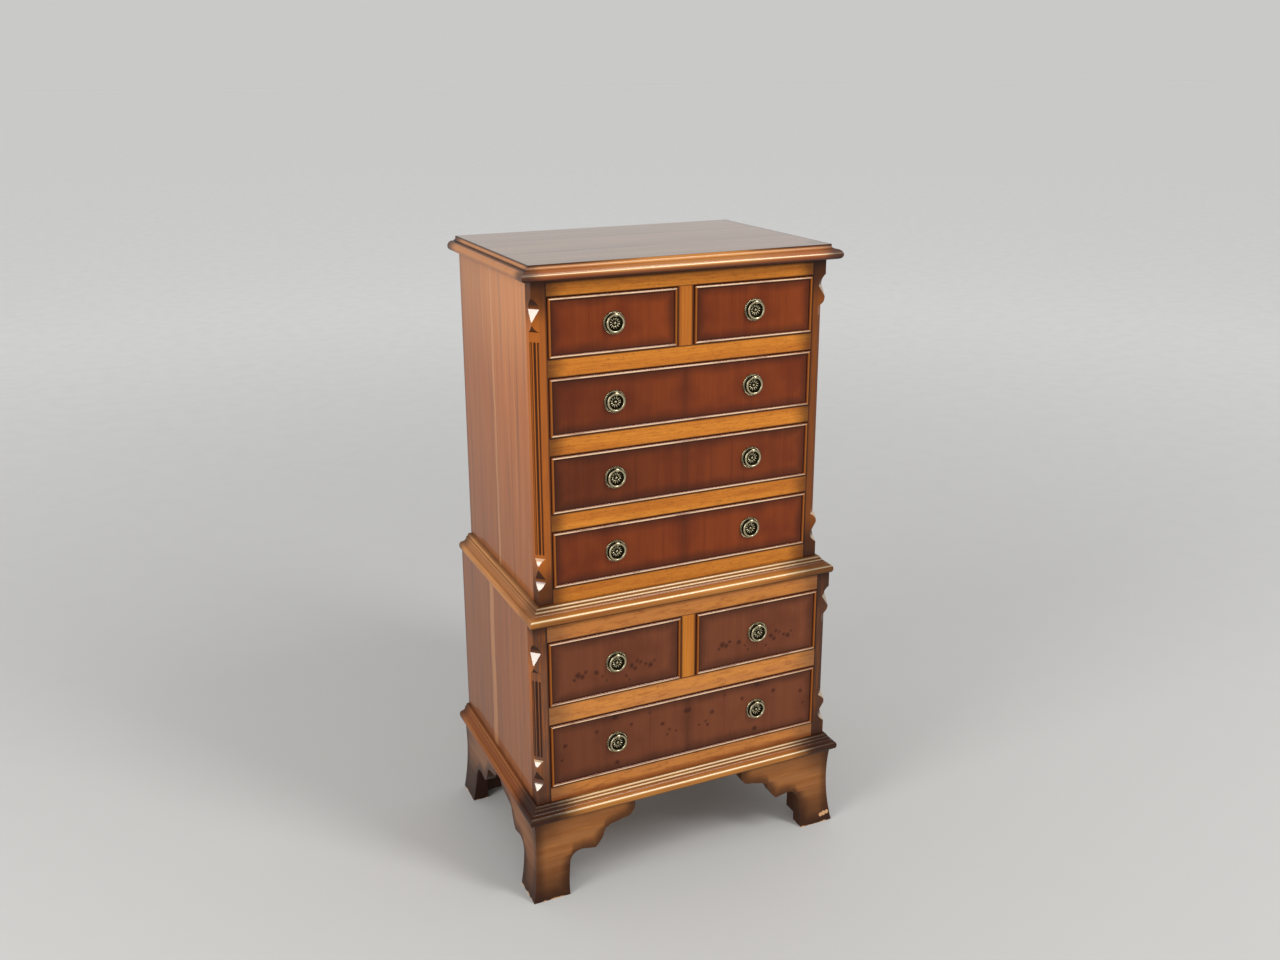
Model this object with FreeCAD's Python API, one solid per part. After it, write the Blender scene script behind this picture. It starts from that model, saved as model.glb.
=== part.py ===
import FreeCAD, Part
import math
import os

# A chest on chest: five drawers in an upper chest that stands on a wider lower chest of three,
# with canted and fluted corner posts, mitred mouldings, bracket feet and ring pulls.
# Millimetres. X runs to the right seen from the front, Y to the back, Z up.
# The origin is on the floor, under the middle of the whole outline.

Vector = FreeCAD.Vector

# Heights of the pieces that stand on each other, from the floor up
foot_height = 120.0
lower_bottom_rail_height = 44.7
lower_drawer_height = 91.0
lower_mid_rail_height = 27.8
lower_top_rail_height = 22.6
upper_bottom_rail_height = 45.0
upper_drawer_height = 76.0
upper_mid_rail_height = 24.2
upper_top_rail_height = 21.1
top_thickness = 19.5
lower_row_count = 2
upper_row_count = 4

# The two carcases
upper_width = 418.0
upper_depth = 293.0
step_out = 15.5
side_thickness = 15.0
guide_thickness = 5.0
post_depth = 20.0
rail_depth = 45.0
divider_width = 22.6
back_thickness = 5.0
back_rebate_width = 8.0
board_thickness = 14.0

# Joints between posts, panels, rails and dividers
rail_tenon_length = 8.0
rail_tenon_thickness = 6.0
rail_tenon_setback = 8.0
rail_tenon_height_share = 0.6
divider_tenon_length = 5.0
divider_tenon_width_share = 0.45
panel_tongue_length = 5.0
panel_tongue_thickness = 5.0

# Canted corner posts: each end stays square, then comes a carved stop, then the fluted cant
post_cant = 10.5
post_square_length = 21.0
stop_scoop_length = 13.0
stop_valley_length = 1.5
stop_rise_length = 15.0
stop_crown_length = 1.5
stop_fall_length = 12.0
stop_crown_depth = 0.5
flute_count = 3
flute_head_margin = 14.0
flute_foot_margin = 6.0
flute_pitch_share = 0.34
flute_radius_share = 0.36
flute_depth_share = 0.80
# Middles of the stop's two curved cuts, as shares of their depth and length
scoop_bow_shares = (0.57, 0.38)
fall_bow_shares = (0.36, 0.64)

# Drawer runners
runner_width = 30.0
centre_runner_width = 64.0
runner_height = 16.0
guide_height = 18.0

# Mouldings under the upper chest and round the base
waist_moulding_height = 23.5
waist_projection = 19.5
base_moulding_height = 23.0
base_projection = 15.5
base_heel = 9.0
# Shares of a moulding's projection and height, from its top at the carcase outwards and down
moulding_shares = [
    ((0.10, 1.000),),
    ((0.24, 0.965), (0.31, 0.870)),
    ((0.31, 0.830),),
    ((0.40, 0.800), (0.44, 0.725)),
    ((0.44, 0.685),),
    ((0.585, 0.555), (0.82, 0.510)),
    ((0.955, 0.425), (1.00, 0.270)),
    ((0.97, 0.120), (0.89, 0.030)),
]

# Top board: its edge is a step, a hollow and a full round
top_overhang = 16.5
top_edge_inset = 12.0
# Shares of the inset and the thickness, from the edge of the flat outwards and down
top_edge_shares = [
    ((0.00, 0.90),),
    ((0.07, 0.77), (0.24, 0.71)),
    ((0.24, 0.66),),
    ((0.764, 0.600), (1.00, 0.308)),
    ((0.854, 0.090), (0.50, 0.000)),
]

# Bracket feet: the outer face is hollow from top to toe, and the inner edge is a cut scroll
bracket_length = 150.0
bracket_gap = 16.0
bracket_thickness = 18.0
foot_top_proud = 8.2
foot_waist_proud = 6.0
foot_toe_proud = 13.0
foot_waist_share = 0.50
back_bracket_length = 92.0
back_bracket_thickness = 15.0
glue_block_width = 26.0
glue_block_clear = 9.0
# Shares of a bracket's length and height, from the toe up to the end under the moulding
scroll_shares = [
    ((0.322, 0.17), (0.338, 0.36)),
    ((0.375, 0.475), (0.475, 0.510)),
    ((0.595, 0.485),),
    ((0.655, 0.575), (0.695, 0.700)),
    ((0.745, 0.735),),
    ((0.880, 0.775),),
    ((0.970, 0.830), (0.990, 0.930)),
    ((0.990, 1.000),),
]
scroll_toe_share = 0.318
# Shares of the plain back bracket, cut to one sweep
back_scroll_shares = [
    ((0.50, 0.42), (0.72, 0.62)),
    ((0.90, 0.74), (1.00, 0.88)),
    ((1.00, 1.00),),
]
back_toe_share = 0.48

# Drawers
drawer_gap_side = 0.9
drawer_gap_above = 0.9
drawer_gap_below = 0.3
drawer_gap_behind = 14.0
front_thickness = 18.0
bead_width = 4.0
bead_depth = 8.0
bead_proud = 2.3
drawer_side_thickness = 9.0
drawer_side_drop = 8.0
drawer_back_thickness = 8.0
drawer_back_setback = 8.0
drawer_bottom_thickness = 4.0
drawer_bottom_lift = 7.0
groove_depth = 4.0
groove_clearance = 0.2
dovetail_length = 8.0
dovetail_count = 3
dovetail_neck_share = 0.48
dovetail_tip_share = 0.70

# Ring pulls: the ring hangs in the eye of a bolt that also holds the back plate
ring_radius = 11.0
ring_wire_radius = 1.4
eye_bore_radius = 1.8
eye_wall = 0.95
eye_length = 4.5
eye_standoff = 4.6
eye_neck_radius = 1.9
eye_shank_radius = 1.5
shank_clearance = 0.1
shank_end_length = 1.2
nut_radius = 4.0
nut_thickness = 2.6
nut_side_count = 6
plate_thickness = 1.3
plate_margin = 0.5
plate_rim_width = 2.6
plate_rim_height = 1.1
boss_gap = 1.1
boss_height = 2.6
boss_bead_radius = 1.7
boss_bead_height = 0.9

# How far a cutting shape runs past what it cuts
overrun = 1.0

# Places worked out from the sizes above
half_upper = upper_width / 2
half_lower = half_upper + step_out
half_base = half_lower + base_projection
lower_depth = upper_depth + step_out
back_y = (lower_depth + base_projection) / 2
upper_front = back_y - upper_depth
lower_front = back_y - lower_depth
post_width = side_thickness + guide_thickness
half_upper_opening = half_upper - post_width
half_lower_opening = half_lower - post_width
half_divider = divider_width / 2
lower_opening = lower_drawer_height + drawer_gap_below + drawer_gap_above
upper_opening = upper_drawer_height + drawer_gap_below + drawer_gap_above
lower_rows = [
    foot_height + lower_bottom_rail_height + row * (lower_opening + lower_mid_rail_height)
    for row in range(lower_row_count)
]
waist_z = lower_rows[-1] + lower_opening + lower_top_rail_height
upper_rows = [
    waist_z + upper_bottom_rail_height + row * (upper_opening + upper_mid_rail_height)
    for row in range(upper_row_count)
]
under_top_z = upper_rows[-1] + upper_opening + upper_top_rail_height
bracket_inner = foot_top_proud - bracket_thickness
side_bracket_length = (lower_depth + foot_top_proud - bracket_gap) / 2
plate_radius = ring_radius + eye_neck_radius + plate_margin + plate_rim_width
boss_radius = ring_radius - eye_neck_radius - boss_gap
pull_standoff = plate_thickness + eye_standoff


def block(x_span, y_span, z_span):
    """A rectangular solid between the two ends of each span."""
    low = Vector(min(x_span), min(y_span), min(z_span))
    high = Vector(max(x_span), max(y_span), max(z_span))
    size = high - low
    return Part.makeBox(size.x, size.y, size.z, low)


def outline_face(start, legs, place):
    """A face in a closed outline; a leg is (end,) for a line or (middle, end) for an arc."""
    edges = []
    here = start
    for leg in legs + [(start,)]:
        points = [place(*point) for point in (here,) + leg]
        curve = Part.LineSegment(*points) if len(leg) == 1 else Part.Arc(*points)
        edges.append(curve.toShape())
        here = leg[-1]
    return Part.Face(Part.Wire(edges))


def scaled(legs, width, height):
    """The legs of an outline given in shares, at their real size."""
    return [tuple((point[0] * width, point[1] * height) for point in leg) for leg in legs]


def plan_prism(points, bottom, top):
    """An upright solid over a plan outline."""
    corners = [Vector(x, y, bottom) for x, y in points]
    plan = Part.Face(Part.makePolygon(corners + corners[:1]))
    return plan.extrude(Vector(0, 0, top - bottom))


def mirrored(shape):
    """The same piece on the other side of the chest."""
    return shape.mirror(Vector(0, 0, 0), Vector(1, 0, 0))


def joined(*shapes):
    """Several shapes that are one piece of wood or metal."""
    return shapes[0].multiFuse(list(shapes[1:])).removeSplitter()


def moulding(half_width, front, bottom, projection, height, heel):
    """Strips round the front and both sides of a carcase, mitred at the corners."""
    start = (0, height)
    legs = scaled(moulding_shares, projection, height) + [((heel, 0),), ((0, 0),)]
    reach = projection + overrun
    z_span = (bottom - overrun, bottom + height + overrun)
    front_section = outline_face(
        start, legs, lambda out, up: Vector(-half_width - reach, front - out, bottom + up))
    front_plan = [
        (-half_width - reach, front - reach),
        (half_width + reach, front - reach),
        (half_width - overrun, front + overrun),
        (overrun - half_width, front + overrun),
    ]
    front_strip = front_section.extrude(Vector(2 * (half_width + reach), 0, 0))
    front_strip = front_strip.common(plan_prism(front_plan, *z_span))
    side_section = outline_face(
        start, legs, lambda out, up: Vector(half_width + out, front - reach, bottom + up))
    side_plan = [
        (half_width - overrun, front + overrun),
        (half_width + reach, front - reach),
        (half_width + reach, back_y),
        (half_width - overrun, back_y),
    ]
    side_strip = side_section.extrude(Vector(0, back_y - front + reach, 0))
    side_strip = side_strip.common(plan_prism(side_plan, *z_span))
    return [front_strip, side_strip, mirrored(side_strip)]


def top_board():
    """The top, with its moulded edge on the front and both ends and a plain back edge."""
    flat_front = upper_front - top_overhang + top_edge_inset
    flat_half = half_upper + top_overhang - top_edge_inset
    edge = scaled(top_edge_shares, top_edge_inset, top_thickness)
    depth = back_y - flat_front
    front_legs = edge + [((-depth, 0),), ((-depth, top_thickness),)]
    front_section = outline_face(
        (0, top_thickness), front_legs,
        lambda out, up: Vector(-half_base, flat_front - out, under_top_z + up))
    board = front_section.extrude(Vector(2 * half_base, 0, 0))
    end_reach = flat_half + half_base
    end_legs = edge + [((-end_reach, 0),), ((-end_reach, top_thickness),)]
    end_section = outline_face(
        (0, top_thickness), end_legs,
        lambda out, up: Vector(flat_half + out, upper_front - half_base, under_top_z + up))
    right_end = end_section.extrude(Vector(0, back_y - upper_front + 2 * half_base, 0))
    return board.common(right_end).common(mirrored(right_end))


def stop_legs(full_depth):
    """The carved stop of a cant from its square end: legs of depth of cut and distance."""
    scoop_end = stop_scoop_length
    valley_end = scoop_end + stop_valley_length
    rise_end = valley_end + stop_rise_length
    crown_end = rise_end + stop_crown_length
    fall_end = crown_end + stop_fall_length
    fall_depth = full_depth - stop_crown_depth
    scoop_bow = (scoop_bow_shares[0] * full_depth, scoop_bow_shares[1] * stop_scoop_length)
    fall_bow = (
        stop_crown_depth + fall_bow_shares[0] * fall_depth,
        crown_end + fall_bow_shares[1] * stop_fall_length)
    return [
        (scoop_bow, (full_depth, scoop_end)),
        ((full_depth, valley_end),),
        ((stop_crown_depth, rise_end),),
        ((stop_crown_depth, crown_end),),
        (fall_bow, (full_depth, fall_end)),
    ]


def backwards(start, legs):
    """The same path walked from its other end."""
    starts = [start] + [leg[-1] for leg in legs[:-1]]
    return [leg[:-1] + (before,) for leg, before in zip(reversed(legs), reversed(starts))]


def cant_cutters(half_width, front, low, high):
    """What the carver takes off the outer corner of a right-hand post: the cant and its flutes."""
    inward = Vector(-1, 1, 0).normalize()
    across = Vector(1, 1, 0).normalize()
    corner = Vector(half_width, front, 0)
    reach = post_cant + overrun
    full_depth = post_cant / math.sqrt(2)
    stop = stop_legs(full_depth)
    stop_length = stop[-1][-1][1]
    legs = [((0, low),)]
    legs += [tuple((depth, low + distance) for depth, distance in leg) for leg in stop]
    legs += [((full_depth, high - stop_length),)]
    legs += [tuple((depth, high - distance) for depth, distance in leg) for leg in backwards((0, 0), stop)]
    legs += [((-overrun, high),)]
    section = outline_face(
        (-overrun, low), legs,
        lambda depth, up: corner + inward * depth + Vector(0, 0, up) - across * reach)
    cant = section.extrude(across * (2 * reach))

    pitch = post_cant * math.sqrt(2) * flute_pitch_share
    radius = pitch * flute_radius_share
    sunk = full_depth + radius * flute_depth_share - radius
    flute_low = low + stop_length + flute_foot_margin
    flute_high = high - stop_length - flute_head_margin
    cutters = [cant]
    for index in range(flute_count):
        aside = (index - (flute_count - 1) / 2) * pitch
        foot = corner + inward * sunk + across * aside + Vector(0, 0, flute_low)
        head = foot + Vector(0, 0, flute_high - flute_low)
        groove = Part.makeCylinder(radius, flute_high - flute_low, foot)
        ends = [Part.makeSphere(radius, foot), Part.makeSphere(radius, head)]
        cutters.append(groove.multiFuse(ends))
    return cutters


def rail_tenon(half_opening, front, bottom, height):
    """The tenons at both ends of a rail, as one bar."""
    margin = height * (1 - rail_tenon_height_share) / 2
    tenon_front = front + rail_tenon_setback
    return block(
        (-half_opening - rail_tenon_length, half_opening + rail_tenon_length),
        (tenon_front, tenon_front + rail_tenon_thickness),
        (bottom + margin, bottom + height - margin))


def panel_tongue(half_width, front, bottom, top):
    """The tongue of a right-hand side panel that a post's groove takes."""
    middle = half_width - side_thickness / 2
    half_tongue = panel_tongue_thickness / 2
    tongue_back = front + post_depth
    return block(
        (middle - half_tongue, middle + half_tongue),
        (tongue_back - panel_tongue_length, tongue_back),
        (bottom, top))


def side_panel(half_width, front, bottom, top):
    """A right-hand side, tongued into its post and rebated for the back."""
    panel = block((half_width - side_thickness, half_width), (front + post_depth, back_y), (bottom, top))
    rebate_inner = half_width - side_thickness
    rebate = block(
        (rebate_inner - overrun, rebate_inner + back_rebate_width),
        (back_y - back_thickness, back_y + overrun),
        (bottom - overrun, top + overrun))
    return joined(panel.cut(rebate), panel_tongue(half_width, front, bottom, top))


def corner_post(half_width, front, bottom, top, covered, rail_spans):
    """A right-hand front post; covered is the length that a moulding hides at its foot."""
    post = block((half_width - post_width, half_width), (front, front + post_depth), (bottom, top))
    low = bottom + covered + post_square_length
    cutters = cant_cutters(half_width, front, low, top - post_square_length)
    cutters.append(panel_tongue(half_width, front, bottom - overrun, top + overrun))
    half_opening = half_width - post_width
    cutters += [rail_tenon(half_opening, front, *span) for span in rail_spans]
    for cutter in cutters:
        post = post.cut(cutter)
    return post


def divider_tenon(front, bottom, top):
    """The tenons above and below a divider, as one bar."""
    half_tenon = divider_width * divider_tenon_width_share / 2
    tenon_front = front + rail_tenon_setback
    return block(
        (-half_tenon, half_tenon),
        (tenon_front, tenon_front + rail_tenon_thickness),
        (bottom - divider_tenon_length, top + divider_tenon_length))


def front_rails(half_opening, front, rail_spans, divider_bar):
    """The rails between the posts, mortised where the divider meets them."""
    rails = []
    for bottom, height in rail_spans:
        beam = block((-half_opening, half_opening), (front, front + rail_depth), (bottom, bottom + height))
        rails.append(joined(beam, rail_tenon(half_opening, front, bottom, height)).cut(divider_bar))
    return rails


def divider(front, bottom, top, divider_bar):
    """The upright between two short drawers."""
    upright = block((-half_divider, half_divider), (front, front + rail_depth), (bottom, top))
    return joined(upright, divider_bar)


def side_runner(half_width, front, floor):
    """A right-hand runner: a ledge under the drawer's side and a guide beside it."""
    inner = half_width - side_thickness
    y_span = (front + rail_depth, back_y - back_thickness)
    ledge = block((inner - runner_width, inner), y_span, (floor - runner_height, floor))
    guide = block((inner - guide_thickness, inner), y_span, (floor, floor + guide_height))
    return joined(ledge, guide)


def centre_runner(front, floor):
    """The runner behind a divider, which carries and guides both short drawers."""
    half_ledge = centre_runner_width / 2
    y_span = (front + rail_depth, back_y - back_thickness)
    ledge = block((-half_ledge, half_ledge), y_span, (floor - runner_height, floor))
    guide = block((-half_divider, half_divider), y_span, (floor, floor + guide_height))
    return joined(ledge, guide)


def runners(half_width, front, rows):
    """All the runners of one chest; its top row has the two short drawers."""
    pieces = [centre_runner(front, rows[-1])]
    for floor in rows:
        runner = side_runner(half_width, front, floor)
        pieces += [runner, mirrored(runner)]
    return pieces


def back_panel(half_width, bottom, top):
    """The plain back, in the rebates of both sides."""
    half_panel = half_width - side_thickness + back_rebate_width
    return block((-half_panel, half_panel), (back_y - back_thickness, back_y), (bottom, top))


def flat_board(half_width, front, bottom):
    """A board across a carcase, from its front rail to its back."""
    half_board = half_width - side_thickness
    y_span = (front + rail_depth, back_y - back_thickness)
    return block((-half_board, half_board), y_span, (bottom, bottom + board_thickness))


def bracket_section(place):
    """The upright section of a bracket: hollow outside, flat inside."""
    waist = (foot_waist_proud, foot_height * foot_waist_share)
    legs = [(waist, (foot_toe_proud, 0)), ((bracket_inner, 0),), ((bracket_inner, foot_height),)]
    return outline_face((foot_top_proud, foot_height), legs, place)


def scroll_face(length, toe_share, shares, corner, place):
    """The side view of a bracket, from beyond its corner to its cut inner edge."""
    toe = toe_share * length
    legs = [((toe, -overrun),), ((toe, 0),)] + scaled(shares, length, foot_height)
    end = legs[-1][-1][0]
    legs += [((end, foot_height + overrun),), ((corner, foot_height + overrun),)]
    return outline_face((corner, -overrun), legs, place)


def front_foot():
    """The right front foot: front bracket, side bracket and glue block."""
    reach = foot_toe_proud + overrun
    beyond = -reach
    inside = bracket_thickness + overrun
    z_span = (-overrun, foot_height + overrun)
    corner_x = half_lower + foot_top_proud
    corner_y = lower_front - foot_top_proud

    front_bracket = bracket_section(lambda out, up: Vector(half_lower + reach, lower_front - out, up))
    front_bracket = front_bracket.extrude(Vector(-bracket_length - 2 * reach, 0, 0))
    front_scroll = scroll_face(
        bracket_length, scroll_toe_share, scroll_shares, beyond,
        lambda along, up: Vector(corner_x - along, lower_front - reach, up))
    front_plan = [
        (half_lower + reach, lower_front - reach),
        (half_lower - inside, lower_front + inside),
        (half_lower - bracket_length - inside, lower_front + inside),
        (half_lower - bracket_length - inside, lower_front - reach),
    ]
    front_bracket = front_bracket.common(front_scroll.extrude(Vector(0, reach + inside, 0)))
    front_bracket = front_bracket.common(plan_prism(front_plan, *z_span))

    side_bracket = bracket_section(lambda out, up: Vector(half_lower + out, lower_front - reach, up))
    side_bracket = side_bracket.extrude(Vector(0, side_bracket_length + 2 * reach, 0))
    side_scroll = scroll_face(
        side_bracket_length, scroll_toe_share, scroll_shares, beyond,
        lambda along, up: Vector(half_lower + reach, corner_y + along, up))
    side_plan = [
        (half_lower + reach, lower_front - reach),
        (half_lower + reach, back_y),
        (half_lower - inside, back_y),
        (half_lower - inside, lower_front + inside),
    ]
    side_bracket = side_bracket.common(side_scroll.extrude(Vector(-reach - inside, 0, 0)))
    side_bracket = side_bracket.common(plan_prism(side_plan, *z_span))

    block_x = half_lower + bracket_inner
    block_y = lower_front - bracket_inner
    glue_block = block(
        (block_x - glue_block_width, block_x),
        (block_y, block_y + glue_block_width),
        (glue_block_clear, foot_height))
    return [front_bracket, side_bracket, glue_block]


def back_foot():
    """The right back foot: side bracket, plain back bracket and glue block."""
    reach = foot_toe_proud + overrun
    inside = bracket_thickness + overrun
    side_bracket = bracket_section(lambda out, up: Vector(half_lower + out, back_y, up))
    side_bracket = side_bracket.extrude(Vector(0, -side_bracket_length - overrun, 0))
    side_scroll = scroll_face(
        side_bracket_length, scroll_toe_share, scroll_shares, -overrun,
        lambda along, up: Vector(half_lower + reach, back_y - along, up))
    side_bracket = side_bracket.common(side_scroll.extrude(Vector(-reach - inside, 0, 0)))

    inner_x = half_lower + bracket_inner
    back_scroll = outline_face(
        (0, 0),
        [((back_toe_share * back_bracket_length, 0),)]
        + scaled(back_scroll_shares, back_bracket_length, foot_height)
        + [((0, foot_height),)],
        lambda along, up: Vector(inner_x - along, back_y, up))
    back_bracket = back_scroll.extrude(Vector(0, -back_bracket_thickness, 0))
    block_y = back_y - back_bracket_thickness
    glue_block = block(
        (inner_x - glue_block_width, inner_x),
        (block_y - glue_block_width, block_y),
        (glue_block_clear, foot_height))
    return [side_bracket, back_bracket, glue_block]


def cock_beads(x_span, front, z_span):
    """Four round-nosed beads round a drawer front, mitred at the corners."""
    (left, right), (bottom, top) = x_span, z_span
    half_bead = bead_width / 2
    shoulder = bead_proud - half_bead
    legs = [
        ((0, shoulder),),
        ((half_bead, bead_proud), (bead_width, shoulder)),
        ((bead_width, -bead_depth),),
    ]
    start = (0, -bead_depth)
    long_section = outline_face(start, legs, lambda inward, out: Vector(left, front - out, bottom + inward))
    short_section = outline_face(start, legs, lambda inward, out: Vector(left + inward, front - out, bottom))
    top_section = outline_face(start, legs, lambda inward, out: Vector(left, front - out, top - inward))
    end_section = outline_face(start, legs, lambda inward, out: Vector(right - inward, front - out, bottom))
    half_height = (top - bottom) / 2
    reach = half_height - overrun
    middle = (bottom + top) / 2
    outlines = {
        "bottom": [
            (left, bottom), (right, bottom), (right - reach, bottom + reach), (left + reach, bottom + reach)],
        "top": [
            (left, top), (right, top), (right - reach, top - reach), (left + reach, top - reach)],
        "left": [(left, bottom), (left, top), (left + half_height, middle)],
        "right": [(right, bottom), (right, top), (right - half_height, middle)],
    }
    strips = {
        "bottom": long_section.extrude(Vector(right - left, 0, 0)),
        "top": top_section.extrude(Vector(right - left, 0, 0)),
        "left": short_section.extrude(Vector(0, 0, top - bottom)),
        "right": end_section.extrude(Vector(0, 0, top - bottom)),
    }
    beads = []
    for name, outline in outlines.items():
        corners = [Vector(x, front - bead_proud - overrun, z) for x, z in outline]
        wedge = Part.Face(Part.makePolygon(corners + corners[:1]))
        wedge = wedge.extrude(Vector(0, bead_proud + bead_depth + 2 * overrun, 0))
        beads.append(strips[name].common(wedge))
    return beads


def dovetails(x_span, joint_y, bottom, height):
    """The tails on the front end of a drawer side."""
    pitch = height / dovetail_count
    half_neck = pitch * dovetail_neck_share / 2
    half_tip = pitch * dovetail_tip_share / 2
    tails = []
    for index in range(dovetail_count):
        middle = bottom + (index + 1 / 2) * pitch
        corners = [
            Vector(min(x_span), joint_y, middle - half_neck),
            Vector(min(x_span), joint_y, middle + half_neck),
            Vector(min(x_span), joint_y - dovetail_length, middle + half_tip),
            Vector(min(x_span), joint_y - dovetail_length, middle - half_tip),
        ]
        tail = Part.Face(Part.makePolygon(corners + corners[:1]))
        tails.append(tail.extrude(Vector(max(x_span) - min(x_span), 0, 0)))
    return tails


def drawer_front(x_span, front, z_span, tails, pulls):
    """The veneered front: rebated for its beads, socketed for its sides, grooved for its bottom."""
    (left, right), (bottom, top) = x_span, z_span
    joint_y = front + front_thickness
    field = block(
        (left + bead_width, right - bead_width),
        (front, front + bead_depth),
        (bottom + bead_width, top - bead_width))
    panel = joined(field, block(x_span, (front + bead_depth, joint_y), z_span))
    groove_z = bottom + drawer_bottom_lift
    groove = block(
        (left + drawer_side_thickness, right - drawer_side_thickness),
        (joint_y - groove_depth, joint_y + overrun),
        (groove_z, groove_z + drawer_bottom_thickness + groove_clearance))
    holes = [
        Part.makeCylinder(
            eye_shank_radius + shank_clearance, front_thickness + 2 * overrun,
            Vector(x, front - overrun, z + ring_radius), Vector(0, 1, 0))
        for x, z in pulls
    ]
    for cutter in tails + [groove] + holes:
        panel = panel.cut(cutter)
    return panel


def drawer_box(x_span, front, z_span, tails):
    """Two sides, the back and the bottom, which slides in grooves under the back."""
    (left, right), (bottom, top) = x_span, z_span
    joint_y = front + front_thickness
    end_y = back_y - back_thickness - drawer_gap_behind
    side_top = top - drawer_side_drop
    inner_left = left + drawer_side_thickness
    inner_right = right - drawer_side_thickness
    floor = bottom + drawer_bottom_lift
    floor_top = floor + drawer_bottom_thickness
    back_end = end_y - drawer_back_setback
    back_span = (back_end - drawer_back_thickness, back_end)

    grooves = block(
        (inner_left - groove_depth, inner_right + groove_depth),
        (joint_y, end_y + overrun),
        (floor, floor_top + groove_clearance))
    housing = block(
        (inner_left - groove_depth, inner_right + groove_depth), back_span, (floor_top, side_top + overrun))
    sides = []
    for near, far in ((left, inner_left), (inner_right, right)):
        side = block((near, far), (joint_y, end_y), (bottom, side_top))
        own_tails = [tail for tail in tails if min(near, far) <= tail.CenterOfMass.x <= max(near, far)]
        sides.append(joined(side, *own_tails).cut(grooves).cut(housing))
    back = block((inner_left - groove_depth, inner_right + groove_depth), back_span, (floor_top, side_top))
    slack = groove_depth - groove_clearance
    base = joined(
        block((inner_left - slack, inner_right + slack), (joint_y, back_end), (floor, floor_top)),
        block((inner_left, inner_right), (joint_y - slack, joint_y), (floor, floor_top)))
    return sides + [back, base]


def dome_leg(start, end):
    """An arc between two points (radius, height) that is part of a ball once it is spun."""
    (start_radius, start_height), (end_radius, end_height) = start, end
    squares = start_radius ** 2 + start_height ** 2 - end_radius ** 2 - end_height ** 2
    centre = squares / (2 * (start_height - end_height))
    ball_radius = math.hypot(start_radius, start_height - centre)
    start_turn = math.atan2(start_radius, start_height - centre)
    end_turn = math.atan2(end_radius, end_height - centre)
    turn = (start_turn + end_turn) / 2
    return ((ball_radius * math.sin(turn), centre + ball_radius * math.cos(turn)), end)


def back_plate(x, front, z):
    """The round plate: a raised rim, a flat that takes the eye bolt and a domed boss."""
    rim_inner = plate_radius - plate_rim_width
    rim_middle = plate_radius - plate_rim_width / 2
    boss_top = plate_thickness + boss_height
    boss_edge = (boss_radius, plate_thickness)
    bead_edge = (boss_bead_radius, boss_top)
    legs = [
        ((plate_radius, 0),),
        ((plate_radius, plate_thickness),),
        ((rim_middle, plate_thickness + plate_rim_height), (rim_inner, plate_thickness)),
        (boss_edge,),
        dome_leg(boss_edge, bead_edge),
        dome_leg(bead_edge, (0, boss_top + boss_bead_height)),
    ]
    section = outline_face((0, 0), legs, lambda radius, out: Vector(x + radius, front - out, z))
    plate = section.revolve(Vector(x, front, z), Vector(0, 1, 0), 360)
    hole = Part.makeCylinder(
        eye_shank_radius + shank_clearance, pull_standoff,
        Vector(x, front + overrun, z + ring_radius), Vector(0, -1, 0))
    return plate.cut(hole)


def eye_bolt(x, front, z):
    """The bolt that holds the plate, with the eye that the ring hangs in."""
    axis_y = front - pull_standoff
    eye_z = z + ring_radius
    barrel = Part.makeCylinder(
        eye_bore_radius + eye_wall, eye_length, Vector(x - eye_length / 2, axis_y, eye_z), Vector(1, 0, 0))
    neck = Part.makeCylinder(eye_neck_radius, eye_standoff, Vector(x, axis_y, eye_z), Vector(0, 1, 0))
    shank_length = plate_thickness + front_thickness + nut_thickness + shank_end_length
    shank = Part.makeCylinder(
        eye_shank_radius, shank_length, Vector(x, front - plate_thickness, eye_z), Vector(0, 1, 0))
    bore = Part.makeCylinder(
        eye_bore_radius, eye_length + 2 * overrun,
        Vector(x - eye_length / 2 - overrun, axis_y, eye_z), Vector(1, 0, 0))
    return joined(barrel, neck, shank).cut(bore)


def nut(x, front, z):
    """The nut on the eye bolt, inside the drawer."""
    seat = front + front_thickness
    corners = []
    for side in range(nut_side_count + 1):
        turn = 2 * math.pi * side / nut_side_count
        aside, up = nut_radius * math.cos(turn), nut_radius * math.sin(turn)
        corners.append(Vector(x + aside, seat, z + ring_radius + up))
    hexagon = Part.Face(Part.makePolygon(corners)).extrude(Vector(0, nut_thickness, 0))
    hole = Part.makeCylinder(
        eye_shank_radius + shank_clearance, nut_thickness + 2 * overrun,
        Vector(x, seat - overrun, z + ring_radius), Vector(0, 1, 0))
    return hexagon.cut(hole)


def pull_ring(x, front, z):
    """The ring, hanging from its eye in front of the plate."""
    return Part.makeTorus(ring_radius, ring_wire_radius, Vector(x, front - pull_standoff, z), Vector(0, 1, 0))


def drawer_places():
    """Each drawer's name, its ends, its bottom and top, the front that it closes flush with and its pulls."""
    places = []
    chests = (
        (half_upper_opening, upper_front, upper_rows, upper_drawer_height,
         ("fourth", "third", "second"), ("top_left", "top_right")),
        (half_lower_opening, lower_front, lower_rows, lower_drawer_height,
         ("bottom",), ("waist_left", "waist_right")),
    )
    for half_opening, front, rows, height, long_names, short_names in chests:
        outer = half_opening - drawer_gap_side
        inner = half_divider + drawer_gap_side
        pull_x = (outer + inner) / 2
        for name, floor in zip(long_names, rows):
            low = floor + drawer_gap_below
            places.append((name, (-outer, outer), (low, low + height), front, (-pull_x, pull_x)))
        low = rows[-1] + drawer_gap_below
        places.append((short_names[0], (-outer, -inner), (low, low + height), front, (-pull_x,)))
        places.append((short_names[1], (inner, outer), (low, low + height), front, (pull_x,)))
    return places


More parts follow.
